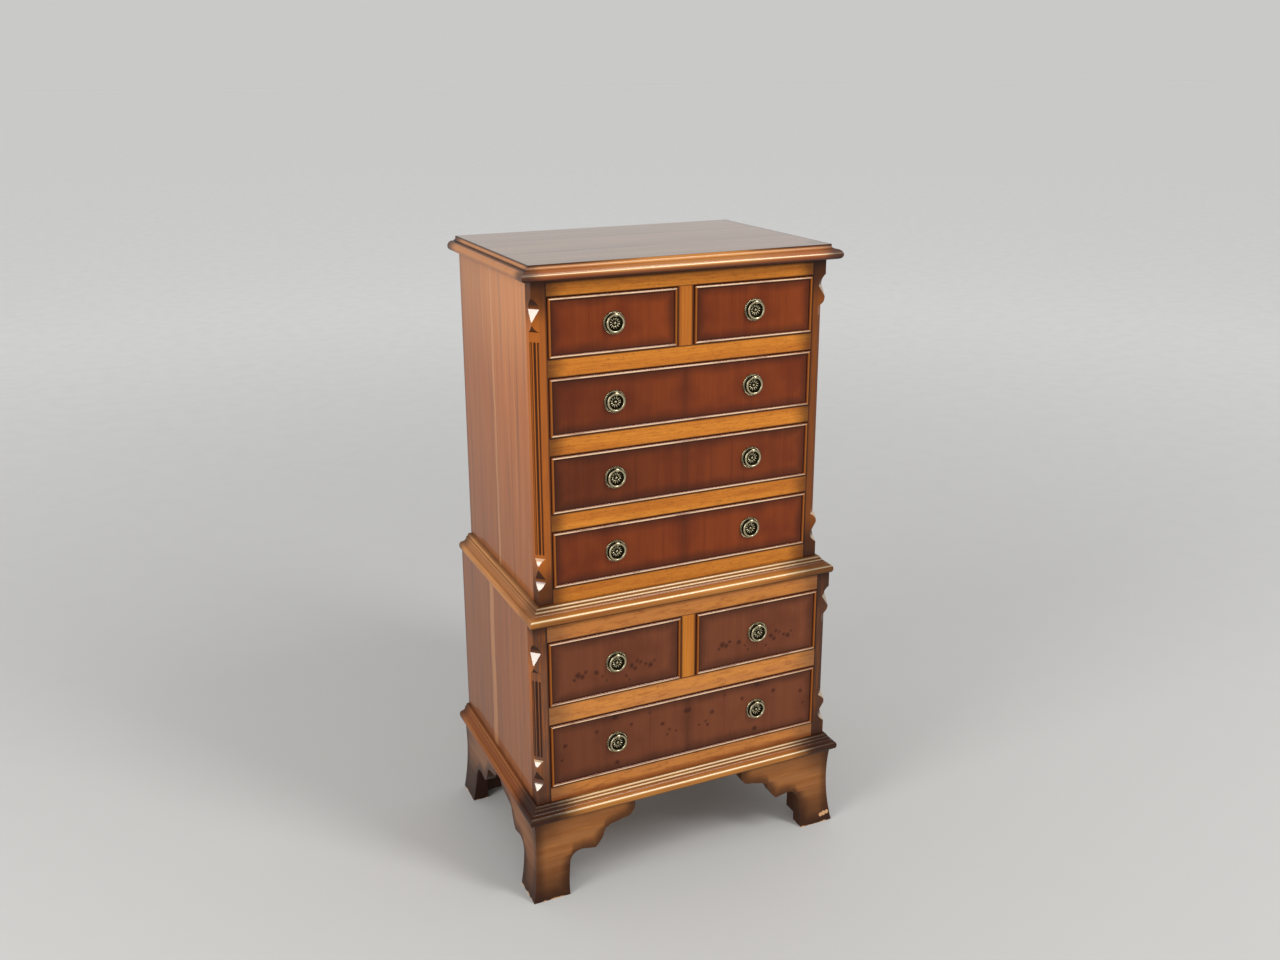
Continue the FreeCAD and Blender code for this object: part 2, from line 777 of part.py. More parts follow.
def drawer_nodes(name, x_span, z_span, front, pull_places):
    """The nodes of one drawer: front with beads, box, pull fittings and a ring for each pull."""
    left, right = x_span
    bottom, top = z_span
    middle = (bottom + top) / 2
    pulls = [(x, middle) for x in pull_places]
    joint_y = front + front_thickness
    side_height = top - drawer_side_drop - bottom
    tails = dovetails((left, left + drawer_side_thickness), joint_y, bottom, side_height)
    tails += dovetails((right - drawer_side_thickness, right), joint_y, bottom, side_height)
    made = {
        name + "_drawer_front": [drawer_front(x_span, front, z_span, tails, pulls)]
        + cock_beads(x_span, front, z_span),
        name + "_drawer_box": drawer_box(x_span, front, z_span, tails),
        name + "_drawer_pull_fittings": [
            make(x, front, z) for x, z in pulls for make in (back_plate, eye_bolt, nut)],
    }
    hands = ("",) if len(pulls) == 1 else ("_left", "_right")
    for hand, (x, z) in zip(hands, pulls):
        made[name + "_drawer_ring" + hand] = [pull_ring(x, front, z)]
    return made


def chest_nodes(name, half_width, front, bottom, top, covered, rows, rail_heights, opening):
    """The nodes of one carcase, without its boards and mouldings."""
    rail_bottoms = [bottom] + [floor + opening for floor in rows]
    rail_spans = list(zip(rail_bottoms, rail_heights))
    divider_bar = divider_tenon(front, rows[-1], rows[-1] + opening)
    panel = side_panel(half_width, front, bottom, top)
    post = corner_post(half_width, front, bottom, top, covered, rail_spans)
    half_opening = half_width - post_width
    return {
        name + "_side_left": [mirrored(panel)],
        name + "_side_right": [panel],
        name + "_corner_post_left": [mirrored(post)],
        name + "_corner_post_right": [post],
        name + "_front_rails": front_rails(half_opening, front, rail_spans, divider_bar),
        name + "_drawer_divider": [divider(front, rows[-1], rows[-1] + opening, divider_bar)],
        name + "_drawer_runners": runners(half_width, front, rows),
        name + "_back_panel": [back_panel(half_width, bottom, top)],
    }


def whole_chest():
    """Every node of the chest by name, each a list of separate solids."""
    upper_rails = [upper_bottom_rail_height] + [upper_mid_rail_height] * (upper_row_count - 1)
    upper_rails.append(upper_top_rail_height)
    lower_rails = [lower_bottom_rail_height] + [lower_mid_rail_height] * (lower_row_count - 1)
    lower_rails.append(lower_top_rail_height)
    nodes = {"top_board": [top_board()]}
    nodes.update(chest_nodes(
        "upper", half_upper, upper_front, waist_z, under_top_z, waist_moulding_height,
        upper_rows, upper_rails, upper_opening))
    nodes.update(chest_nodes(
        "lower", half_lower, lower_front, foot_height, waist_z, base_moulding_height,
        lower_rows, lower_rails, lower_opening))
    nodes["carcase_boards"] = [
        flat_board(half_upper, upper_front, waist_z),
        flat_board(half_lower, lower_front, waist_z - board_thickness),
        flat_board(half_lower, lower_front, foot_height),
    ]
    nodes["waist_moulding"] = moulding(
        half_upper, upper_front, waist_z, waist_projection, waist_moulding_height, step_out)
    nodes["base_moulding"] = moulding(
        half_lower, lower_front, foot_height, base_projection, base_moulding_height, base_heel)
    for name, pieces in (("front", front_foot()), ("back", back_foot())):
        nodes["foot_" + name + "_right"] = pieces
        nodes["foot_" + name + "_left"] = [mirrored(piece) for piece in pieces]
    for place in drawer_places():
        name, x_span, z_span, front, pull_places = place
        nodes.update(drawer_nodes(name, x_span, z_span, front, pull_places))
    return nodes


os.makedirs("parts", exist_ok=True)
for node, solids in whole_chest().items():
    shape = solids[0] if len(solids) == 1 else Part.makeCompound(solids)
    shape.exportStep("parts/" + node + ".step")
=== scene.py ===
"""Dresses a yew chest on chest: its lacquered finishes, its brass ring pulls and a plain studio stage."""

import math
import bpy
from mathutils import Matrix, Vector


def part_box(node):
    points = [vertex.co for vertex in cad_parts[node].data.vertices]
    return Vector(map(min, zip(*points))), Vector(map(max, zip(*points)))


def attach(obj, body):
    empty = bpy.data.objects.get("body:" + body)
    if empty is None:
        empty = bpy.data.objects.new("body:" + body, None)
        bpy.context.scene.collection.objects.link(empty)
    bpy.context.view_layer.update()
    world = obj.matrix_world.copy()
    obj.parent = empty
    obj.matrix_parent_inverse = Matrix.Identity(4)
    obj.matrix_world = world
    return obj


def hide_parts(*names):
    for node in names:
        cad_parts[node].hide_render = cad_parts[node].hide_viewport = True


bl_info = {
    "name": "Chest on Chest",
    "version": (1, 0, 0),
    "blender": (4, 5, 0),
    "location": "View3D > Sidebar > Chest",
    "description": "Lacquered yew, antique brass ring pulls and a studio stage for a chest on chest",
    "category": "Object",
}

import bmesh
import bpy
from bpy.props import FloatProperty, FloatVectorProperty, IntProperty, PointerProperty
from mathutils import Euler, Matrix, Quaternion, Vector

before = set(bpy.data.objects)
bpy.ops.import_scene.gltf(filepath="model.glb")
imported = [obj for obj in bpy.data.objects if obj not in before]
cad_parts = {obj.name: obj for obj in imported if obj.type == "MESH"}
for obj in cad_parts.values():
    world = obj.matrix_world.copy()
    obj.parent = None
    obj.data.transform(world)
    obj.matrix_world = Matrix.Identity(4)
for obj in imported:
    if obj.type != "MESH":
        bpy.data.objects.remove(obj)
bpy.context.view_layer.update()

MM = 0.001
X, Y, Z = 0, 1, 2

# The drawers, from the top down, and those that run the whole width
DRAWERS = ("top_left", "top_right", "second", "third", "fourth", "waist_left", "waist_right", "bottom")
LONG_DRAWERS = ("second", "third", "fourth", "bottom")
CHESTS = ("upper", "lower")
HANDS = ("left", "right")

# Sizes of the joiner's work that the finishes follow, in millimetres
BEAD_WIDTH = 4.0
BEAD_PROUD = 2.3
BEAD_DEPTH = 8.0
POST_CANT = 10.5
FLUTE_DEPTH = 1.45
STOP_REACH = 66.0
TOP_EDGE = 12.0
FOOT_PROUD = 8.2
BRACKET_LENGTH = 150.0

# How far behind the middle the pale sapwood runs down the sides, the heights between which painted light
# brightens the top of the sides, and those between which painted shade darkens the back feet nearly to
# black, in millimetres
SAPWOOD_LINE = 24.5
PAINTED_LIGHT_START, PAINTED_LIGHT_END = 660.0, 850.0
BACK_SHADE_START, BACK_SHADE_END = 100.0, 20.0

# The run mouldings: the chest that each goes round, how far the glaze keeps off its left mitre in
# millimetres, how dark the glaze is at the mitres, and the tone of its sides with that tone's share
RUNS = {
    "waist_moulding": ("upper", 30.0, 0.7, "sapwood_and_light", 0.2),
    "base_moulding": ("lower", 0.0, 0.96, "veneer_dark_and_shade", 0.6),
}

# Heights on the run mouldings and on the top's edge, as shares of their own: the hollow darkened with
# painted shade, the quirks that hold glaze, and the crests with the share of pale wear and painted
# highlight laid on them. A crest of the top also has the distances at which the paleness starts and is
# full.
MOULDING_HOLLOW = 0.6
MOULDING_QUIRKS = (0.70, 0.845, 1.0)
MOULDING_CRESTS = ((0.445, 0.9), (0.78, 0.6), (0.94, 0.6))
TOP_HOLLOW = 0.6
TOP_QUIRKS = (0.69, 0.96)
TOP_CRESTS = ((0.8, 0.06, 0.02, 0.15), (0.43, 0.045, 0.01, 0.9))

# The cut scroll of the bracket feet, in shares of the bracket: how far along it lies at each height, and
# how high at each length
SCROLL_REACHES = (
    (0.0, 0.318), (0.17, 0.322), (0.36, 0.338), (0.475, 0.375), (0.50, 0.475), (0.515, 0.62),
    (0.58, 0.655), (0.70, 0.695), (0.735, 0.745), (0.775, 0.88), (0.83, 0.97), (1.0, 0.99),
)
SCROLL_HEIGHTS = (
    (0.0, 0.0), (0.318, 0.0), (0.338, 0.36), (0.375, 0.475), (0.475, 0.51), (0.595, 0.485),
    (0.655, 0.575), (0.695, 0.70), (0.745, 0.735), (0.88, 0.775), (0.97, 0.83), (1.0, 0.93),
)

# Kinds of node that the finishes use most, and the sockets of a mix, which share their names
MIX, RANGE, NOISE = "ShaderNodeMix", "ShaderNodeMapRange", "ShaderNodeTexNoise"
COMBINE, VECTOR_MATH = "ShaderNodeCombineXYZ", "ShaderNodeVectorMath"
MIX_FACTOR, MIX_FROM, MIX_TO, MIX_RESULT = 0, 6, 7, 2
MIX_VALUE_FROM, MIX_VALUE_TO = 2, 3

# How much darker each front is made, and the left end of the wide ones, as a share of full glaze
ROW_TONE = {"second": 0.1, "third": 0.2, "waist_left": 0.1}
ROW_SHADE = {"second": 0.3, "third": 0.42, "fourth": 0.15, "bottom": 0.2}

# How far the glaze reaches in from the rails' ends, and the heights between which a rail is made
# darker and by how much, in millimetres
RAIL_ENDS = {"upper": 38.0, "lower": 58.0}
RAIL_SHADE = {
    "upper": ((460.0, 440.0, 0.16),),
    "lower": ((365.0, 380.0, 0.2), (170.0, 160.0, 0.15), (152.0, 145.0, 0.6)),
}

# Round marks have a place and a radius in millimetres. First the dark pips in the yew of the lower chest,
# across and up from the middle of a leaf. The two short fronts are cut from neighbouring leaves, so they
# share a pattern.
SHORT_PIPS = (
    (-55.0, -9.0, 3.4), (-43.5, -6.5, 2.2), (-28.5, -10.5, 2.8), (-14.0, -25.0, 1.9),
    (15.0, -24.0, 1.8), (23.0, -11.0, 2.6), (36.0, -8.0, 1.9), (50.5, -15.5, 3.0),
    (-49.0, -12.0, 3.0), (-60.0, -14.5, 2.2), (-20.0, -17.5, 1.8), (28.0, -16.5, 2.4),
    (31.0, -5.0, 2.0), (44.0, -12.5, 2.2), (56.0, -10.0, 1.8), (19.0, -31.0, 1.5),
)
# The long front is two mirrored leaves, so its pips are given once, from the join
LONG_PIPS = (
    (38.5, 10.5, 2.7), (31.5, -7.5, 1.9), (28.0, -1.5, 2.0), (18.0, -5.0, 1.7), (2.0, 22.0, 3.2),
    (86.0, 20.5, 2.3), (137.0, 21.5, 2.6), (183.0, 11.0, 2.7), (188.0, -9.0, 1.9),
    (58.5, 32.0, 1.6), (110.0, 38.0, 3.4), (108.0, -32.0, 3.0),
)
PIPS = {"waist_left": SHORT_PIPS, "waist_right": SHORT_PIPS, "bottom": LONG_PIPS}
# How far the grain curls round the pips
PIP_CURL = 3.0
# Scuffs on the top, across and back from its middle, and chips in the front right toe, across and up
TOP_SCUFFS = ((200.0, -110.0, 9.0), (207.0, -114.0, 6.0))
TOE_CHIPS = ((220.0, 11.5, 3.0), (225.0, 12.5, 3.5), (230.5, 13.5, 3.0))
# So many radii off a mark nothing of it shows
FAR_OFF = 9.0

# A pull's plate from its back round the rim to the tip of its boss: radius and height in millimetres, and
# the share of tarnish. Then the seats of the pearls and the petals, and the petals' slope in degrees.
PLATE_OUTLINE = (
    (0.0, 0.0, 1.0), (14.7, 0.0, 0.6), (15.1, 0.4, 0.3), (15.1, 1.3, 0.1), (14.9, 1.6, 0.0),
    (14.75, 1.4, 0.8), (13.45, 1.4, 0.8), (13.3, 1.8, 0.1), (13.05, 1.9, 0.0), (12.8, 1.7, 0.3),
    (12.6, 1.2, 0.9), (8.9, 1.2, 1.0), (8.5, 1.3, 1.0), (8.3, 1.7, 0.8), (7.8, 1.95, 1.0),
    (5.4, 2.75, 1.0), (3.4, 3.35, 1.0), (2.3, 3.55, 1.0), (1.9, 3.6, 0.7), (1.75, 4.0, 0.0),
    (1.3, 4.5, 0.0), (0.7, 4.75, 0.0), (0.0, 4.8, 0.0),
)
PEARL_SEAT = (14.1, 1.4)
PETAL_SEAT = (4.9, 2.75)
PETAL_SLOPE = 22.0

# The section of a pull's eye, along its axis and out from it, with its tarnish. Then the neck, the shank
# and the nut of its bolt: sides, radius at the back and at the front, and both ends, out from the drawer's
# field.
EYE_SECTION = (
    (-2.25, 1.8), (-2.25, 2.4), (-2.0, 2.65), (-1.6, 2.75), (1.6, 2.75), (2.0, 2.65), (2.25, 2.4),
    (2.25, 1.8), (-2.25, 1.8),
)
EYE_TARNISH = 0.1
BOLT_BARS = ((24, 2.3, 1.9, 1.3, 3.9), (16, 1.5, 1.5, -22.0, 1.3), (6, 4.0, 4.0, -20.6, -18.0))

# Points closer than this are one, in millimetres, and sharper edges than this stay sharp, in degrees
MERGE_GAP = 0.002
SHARP_EDGE = 40.0

# The camera, as fitted to the photograph: its place in millimetres and its turns in radians
CAMERA_PLACE = (-705.65, -1529.9, 1096.9)
CAMERA_YAW, CAMERA_PITCH, CAMERA_ROLL = 0.4296, -0.2856, -0.0029
CAMERA_SHIFT = -0.0402


def linear(hex_colour):
    """An sRGB hex value as the linear colour that the renderer works in."""
    channels = [int(hex_colour[at:at + 2], 16) / 255 for at in (1, 3, 5)]
    return [c / 12.92 if c <= 0.04045 else ((c + 0.055) / 1.055) ** 2.4 for c in channels] + [1.0]


def colour(label, words, hex_colour):
    """A colour that a user can change."""
    return FloatVectorProperty(
        name=label, description=words, subtype="COLOR", size=4, min=0.0, max=1.0,
        default=linear(hex_colour))


def length(label, words, millimetres):
    """A length that a user can change."""
    return FloatProperty(name=label, description=words, unit="LENGTH", min=0.0, default=millimetres * MM)


def factor(label, words, default):
    """A share, from none to all, that a user can change."""
    return FloatProperty(name=label, description=words, subtype="FACTOR", min=0.0, max=1.0, default=default)


def power(label, words, watts):
    """A lamp's power that a user can change."""
    return FloatProperty(name=label, description=words, subtype="POWER", min=0.0, default=watts)


class ChestFinish(bpy.types.PropertyGroup):
    """The stains, woods and metal of the chest, and the colours of its painted shade and highlights."""

    veneer: colour("Drawer veneer", "Red-brown yew on the drawer fronts", "#843A12")
    # The dark veneer colour also paints shade on the lower half of the top's nose
    veneer_dark_and_shade: colour("Drawer veneer, dark grain", "Darker growth in the drawer fronts", "#6A280A")
    lower_veneer: colour("Lower veneer", "Browner yew on the lower drawer fronts", "#794227")
    lower_veneer_dark: colour("Lower veneer, dark grain", "Darker growth in the lower fronts", "#65321C")
    pip: colour("Pips", "Small dark knots in the drawer fronts", "#36140A")
    bead: colour("Cock beads", "Stained bead round each drawer", "#6A3213")
    # The bead's crest colour is partly wear and partly a painted highlight
    bead_worn_and_highlight: colour("Cock beads, crest", "Bead where the stain has rubbed thin", "#FFDDB2")
    rail: colour("Rails", "Golden yew of the rails and dividers", "#D4852C")
    rail_dark: colour("Rails, dark grain", "Darker growth in the rails", "#AC5E1A")
    post: colour("Posts", "Brown yew of the corner posts", "#8C4C20")
    side: colour("Sides", "Warm yew of the side panels", "#B66626")
    side_dark: colour("Sides, dark grain", "Darker growth in the side panels", "#A95C20")
    # Side shade is painted shade and painted floor reflection down the sides, the posts' sides and the
    # feet's side faces; it is also a dark grain tone on the top and the sides
    side_shade: colour("Sides, shade", "Grey-brown stain deepening down the sides", "#644434")
    # The sapwood colour also paints light on the top of the upper sides
    sapwood_and_light: colour("Sapwood", "Pale streak down each side", "#D69A66")
    top: colour("Top", "Yew veneer of the top", "#8C6848")
    moulding: colour("Mouldings", "Golden yew of the mouldings", "#BE7E3A")
    # The dark moulding colour also paints shade in the hollows of the mouldings and the top's edge
    moulding_dark_and_shade: colour("Mouldings, dark grain", "Darker growth in the mouldings", "#8A5022")
    # The crest colour is partly wear and partly a painted highlight, on the mouldings, the top's edge and
    # the stops
    moulding_worn_and_highlight: colour("Mouldings, crest", "Mouldings where the stain has rubbed thin", "#F8E0B4")
    foot: colour("Feet", "Golden middle of the bracket feet", "#A0683A")
    # The glaze colour also paints shade: under the top and the mouldings, beside the beads, in the gaps
    # round the drawers, on downward facets of the stops and on the back feet
    glaze_and_shade: colour("Glaze", "Dark glaze rubbed into corners and grooves", "#2A1208")
    raw: colour("Bare wood", "Wood where the finish has chipped off", "#D9A878")
    drawer_wood: colour("Drawer lining", "Pale wood inside the drawers", "#C9A878")
    carcase_wood: colour("Carcase wood", "Plain wood inside the chest and on its back", "#A07C54")
    brass: colour("Brass", "Rubbed brass of the pulls", "#B8AE8E")
    patina: colour("Patina", "Dark tarnish in the hollows of the pulls", "#221E14")
    gloss: factor("Gloss", "How much clear lacquer lies on the front", 0.3)
    side_gloss: factor("Gloss of the sides", "How much clear lacquer lies on the side panels", 0.5)
    top_gloss: factor("Gloss of the top", "How much clear lacquer lies on the top", 1.0)


class PullSizes(bpy.types.PropertyGroup):
    """The turned and cast detail of a ring pull."""

    pearl_count: IntProperty(name="Pearls", description="Pearls round the rim", min=3, default=40)
    pearl_radius: length("Pearl radius", "Size of a pearl on the rim", 0.85)
    petal_count: IntProperty(name="Petals", description="Petals on the boss", min=3, default=12)
    petal_length: length("Petal length", "Half the length of a petal", 2.9)
    petal_width: length("Petal width", "Half the width of a petal", 0.9)
    petal_height: length("Petal height", "Half the thickness of a petal", 1.1)


class ChestStage(bpy.types.PropertyGroup):
    """The floor, the lamps and the daylight round the chest."""

    floor: colour("Floor", "Pale studio floor", "#BBBAB7")
    floor_far: colour("Floor, far", "The floor away from the lamps", "#EEEDEA")
    sky: colour("Daylight", "Soft light from all round", "#F0F1F3")
    sky_strength: FloatProperty(
        name="Daylight strength", description="Level of the light from all round", min=0.0, default=0.80)
    backdrop: colour("Backdrop", "What is seen past the floor", "#C9C9C8")
    right_watts: power("Right lamp", "Power of the lamp above and right of the front", 42.0)
    window_watts: power("Window lamp", "Power of the tall lamp at the left", 32.0)


def add(tree, kind, inputs=None, operation=None, out=0, **settings):
    """Add a node with its settings; an input is a value or a link to it. Gives the output asked for."""
    made = tree.nodes.new(kind)
    if operation:
        made.operation = operation
    for name, value in settings.items():
        setattr(made, name, value)
    for name, value in (inputs or {}).items():
        if isinstance(value, bpy.types.NodeSocket):
            tree.links.new(value, made.inputs[name])
        else:
            made.inputs[name].default_value = value
    if isinstance(out, tuple):
        return [made.outputs[number] for number in out]
    return made.outputs[out] if len(made.outputs) else made


def calc(tree, operation, *values):
    """Work out a number from values or links to them."""
    return add(tree, "ShaderNodeMath", dict(enumerate(values)), operation)


def distance(tree, place, spot):
    """How far a place lies from a spot."""
    return add(tree, VECTOR_MATH, {0: place, 1: spot}, "DISTANCE", out="Value")


def blend(tree, under, over, share):
    """A colour mixed with a share of another."""
    return add(
        tree, MIX, {MIX_FACTOR: share, MIX_FROM: under, MIX_TO: over}, out=MIX_RESULT, data_type="RGBA")


def new_finish(name):
    """An empty material, with the place on the piece and its three parts."""
    material = bpy.data.materials.new(name)
    material.use_nodes = True
    tree = material.node_tree
    tree.nodes.clear()
    place = add(tree, "ShaderNodeTexCoord", out="Object")
    parts = add(tree, "ShaderNodeSeparateXYZ", {0: place}, out=(X, Y, Z))
    return material, tree, place, parts


def streaks(tree, place, axis, across, along, seed=0.0):
    """Marks drawn out along the grain; across and along are their sizes in millimetres."""
    stretch = [1 / (across * MM)] * 3
    stretch[axis] = 1 / (along * MM)
    spot = add(tree, "ShaderNodeMapping", {
        "Vector": place, "Location": (seed, seed, seed), "Scale": stretch})
    return add(tree, NOISE, {"Vector": spot, "Scale": 1.0, "Detail": 3.0, "Roughness": 0.6})


def yew_figure(tree, place, axis, seed=0.0):
    """Growth bands with fibres between them, from 0 in dark wood to 1 in light."""
    # Yew fibres are under half a millimetre apart; these are drawn coarser, so that they show
    bands = streaks(tree, place, axis, 15.0, 420.0, seed)
    fibres = streaks(tree, place, axis, 1.5, 90.0, seed + 5.0)
    both = calc(tree, "MULTIPLY_ADD", fibres, 0.7, bands)
    return add(tree, RANGE, {"Value": both, "From Min": 0.6, "From Max": 1.1})


def stain(tree, under, over, value, start, end, strength=1.0):
    """Lay a colour over another: none where the value is at start, at its strength where it is at end."""
    share = add(
        tree, RANGE, {"Value": value, "From Min": start, "From Max": end, "To Max": strength},
        interpolation_type="SMOOTHSTEP")
    return blend(tree, under, over, share)


def surfaced(material, inputs):
    """End a material's nodes in one shader with these inputs."""
    shader = add(material.node_tree, "ShaderNodeBsdfPrincipled", inputs)
    add(material.node_tree, "ShaderNodeOutputMaterial", {"Surface": shader})
    return material


def lacquer(material, tree, wood, figure, gloss, ground_gloss=0.05, index=1.5):
    """Clear lacquer over stained wood: one smooth skin over a duller, faintly ribbed ground."""
    roughness = add(tree, RANGE, {"Value": figure, "To Min": 0.52, "To Max": 0.4})
    ribs = add(tree, "ShaderNodeBump", {"Height": figure, "Strength": 0.25, "Distance": 0.06 * MM})
    skin = add(tree, "ShaderNodeBump", {"Height": figure, "Strength": 0.08, "Distance": 0.05 * MM})
    return surfaced(material, {
        "Base Color": wood, "Roughness": roughness, "Normal": ribs, "Specular IOR Level": ground_gloss,
        "Coat Weight": gloss, "Coat Roughness": 0.1, "Coat IOR": index, "Coat Normal": skin})


def from_line(tree, value, line):
    """How far a value lies from a line, on either side of it."""
    beside = calc(tree, "SUBTRACT", value, line)
    return calc(tree, "ABSOLUTE", beside)


def nearest_line(tree, value, lines):
    """How far a value lies from the nearest of several lines."""
    nearest = from_line(tree, value, lines[0])
    for line in lines[1:]:
        nearest = calc(tree, "MINIMUM", nearest, from_line(tree, value, line))
    return nearest


def smeared(tree, place, value, spread, reach):
    """A distance made uneven by hand-rubbed smears: their spread and how far they reach, in millimetres."""
    smears = add(tree, NOISE, {"Vector": place, "Scale": 1 / (spread * MM), "Detail": 2.0})
    centred = calc(tree, "SUBTRACT", smears, 0.5)
    return calc(tree, "MULTIPLY_ADD", centred, reach * MM, value)


def nearest_mark(tree, flat_place, marks):
    """How far off the nearest round mark's middle a flat place lies, in that mark's radii."""
    nearest = None
    for across, up, radius in marks:
        middle = (across * MM, 0.0, up * MM)
        reach = distance(tree, flat_place, middle)
        radii = calc(tree, "DIVIDE", reach, radius * MM)
        nearest = radii if nearest is None else calc(tree, "MINIMUM", nearest, radii)
    return nearest


def drawer_front_finish(drawer, finish):
    """Yew veneer, hand stained and polished: dark red-brown, darker at the edges, in a bead with a pale
    crest of wear and painted highlight.
    """
    low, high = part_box(drawer + "_drawer_front")
    middle, half = (low + high) / 2, (high - low) / 2
    field_y = low.y + BEAD_PROUD * MM
    material, tree, place, (x, y, z) = new_finish("yew_veneer_" + drawer)

    # Long fronts are two mirrored leaves that meet in the middle; short ones are single leaves
    if drawer in LONG_DRAWERS:
        across = from_line(tree, x, 0.0)
    else:
        across = calc(tree, "SUBTRACT", x, middle.x)
    leaf = add(tree, COMBINE, {"X": across, "Y": middle.z, "Z": z})
    figure = yew_figure(tree, leaf, Z)
    light, dark = finish.veneer, finish.veneer_dark_and_shade
    if high.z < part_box("waist_moulding")[0].z:
        light, dark = finish.lower_veneer, finish.lower_veneer_dark
    wood = stain(tree, dark, light, figure, -0.6, 1.0)
    clouds = add(tree, NOISE, {"Vector": leaf, "Scale": 1 / (50 * MM), "Detail": 2.0})
    wood = stain(tree, wood, dark, clouds, 0.42, 0.75, 0.8)
    # Each row is darkened a little, by its own amount, and the wide fronts are darkest at the left
    wood = blend(tree, wood, finish.glaze_and_shade, ROW_TONE.get(drawer, 0.05))
    wood = stain(tree, wood, finish.glaze_and_shade, x, middle.x + 0.5 * half.x, low.x, ROW_SHADE.get(drawer, 0.1))
    if drawer in LONG_DRAWERS:
        join = smeared(tree, place, across, 12.0, 8.0)
        wood = stain(tree, wood, finish.glaze_and_shade, join, 13 * MM, 0.0, 0.3)

    # The lower chest is cut from wood with pips in it. The curl moves a place by half its reach on the
    # whole, so the pips move with it.
    if drawer in PIPS:
        up = calc(tree, "SUBTRACT", z, middle.z)
        flat = add(tree, COMBINE, {"X": across, "Z": up})
        curl = add(tree, NOISE, {"Vector": place, "Scale": 1 / (6 * MM)}, out="Color")
        bent = add(tree, VECTOR_MATH, {0: curl, 1: (PIP_CURL * MM,) * 3, 2: flat}, "MULTIPLY_ADD")
        moved = [(out + PIP_CURL / 2, over + PIP_CURL / 2, radius) for out, over, radius in PIPS[drawer]]
        wood = stain(tree, wood, finish.pip, nearest_mark(tree, bent, moved), 2.0, 0.4, 0.85)

    # Distance from the drawer's edge, with the dark glaze rubbed out unevenly towards the middle
    aside, rise = from_line(tree, x, middle.x), from_line(tree, z, middle.z)
    from_end = calc(tree, "SUBTRACT", half.x, aside)
    from_rim = calc(tree, "SUBTRACT", half.z, rise)
    edge = calc(tree, "MINIMUM", from_end, from_rim)
    ragged_edge = smeared(tree, place, edge, 42.0, 14.0)
    wood = stain(tree, wood, finish.glaze_and_shade, ragged_edge, 20 * MM, 4 * MM, 0.55)
    # A dark line just inside the bead is painted shade where the bead stands up from the field
    wood = stain(tree, wood, finish.glaze_and_shade, edge, (BEAD_WIDTH + 1.8) * MM, (BEAD_WIDTH + 0.2) * MM, 0.8)

    # The bead: pale along the crest where it lies level, partly wear and partly a painted highlight, duller
    # where it stands, and darkened with painted shade at its foot
    bead = stain(tree, finish.bead, finish.bead_worn_and_highlight, y, low.y + 0.22 * MM, low.y + 0.04 * MM, 0.8)
    # The pale crest is uneven, and faintest towards its right end
    rubbed = streaks(tree, place, X, 6.0, 45.0, 2.0)
    bead = stain(tree, bead, finish.bead, rubbed, 0.5, 0.3, 0.6)
    bead = stain(tree, bead, finish.bead, x, middle.x + 0.7 * half.x, high.x, 0.5)
    upright = stain(tree, finish.bead, finish.rail, y, low.y + 0.5 * MM, low.y + 0.05 * MM, 0.3)
    standing = calc(tree, "SUBTRACT", from_rim, from_end)
    bead = stain(tree, bead, upright, standing, -0.2 * MM, 0.2 * MM)
    bead = stain(tree, bead, finish.glaze_and_shade, y, field_y - 0.6 * BEAD_PROUD * MM, field_y - 0.1 * MM, 0.9)
    wood = stain(tree, wood, bead, edge, (BEAD_WIDTH + 0.1) * MM, (BEAD_WIDTH - 0.1) * MM)
    behind = field_y + BEAD_DEPTH * MM
    wood = stain(tree, wood, finish.drawer_wood, y, behind, behind + 0.1 * MM)
    # The level bead was burnished brighter than the flat field, and the standing one less
    bead_shine = add(tree, RANGE, {
        "Value": standing, "From Min": -0.2 * MM, "From Max": 0.2 * MM, "To Min": 0.65, "To Max": 0.12})
    shine = add(tree, RANGE, {
        "Value": edge, "From Min": (BEAD_WIDTH - 0.1) * MM, "From Max": (BEAD_WIDTH + 0.1) * MM,
        "To Min": bead_shine, "To Max": finish.gloss})
    return lacquer(material, tree, wood, figure, shine)


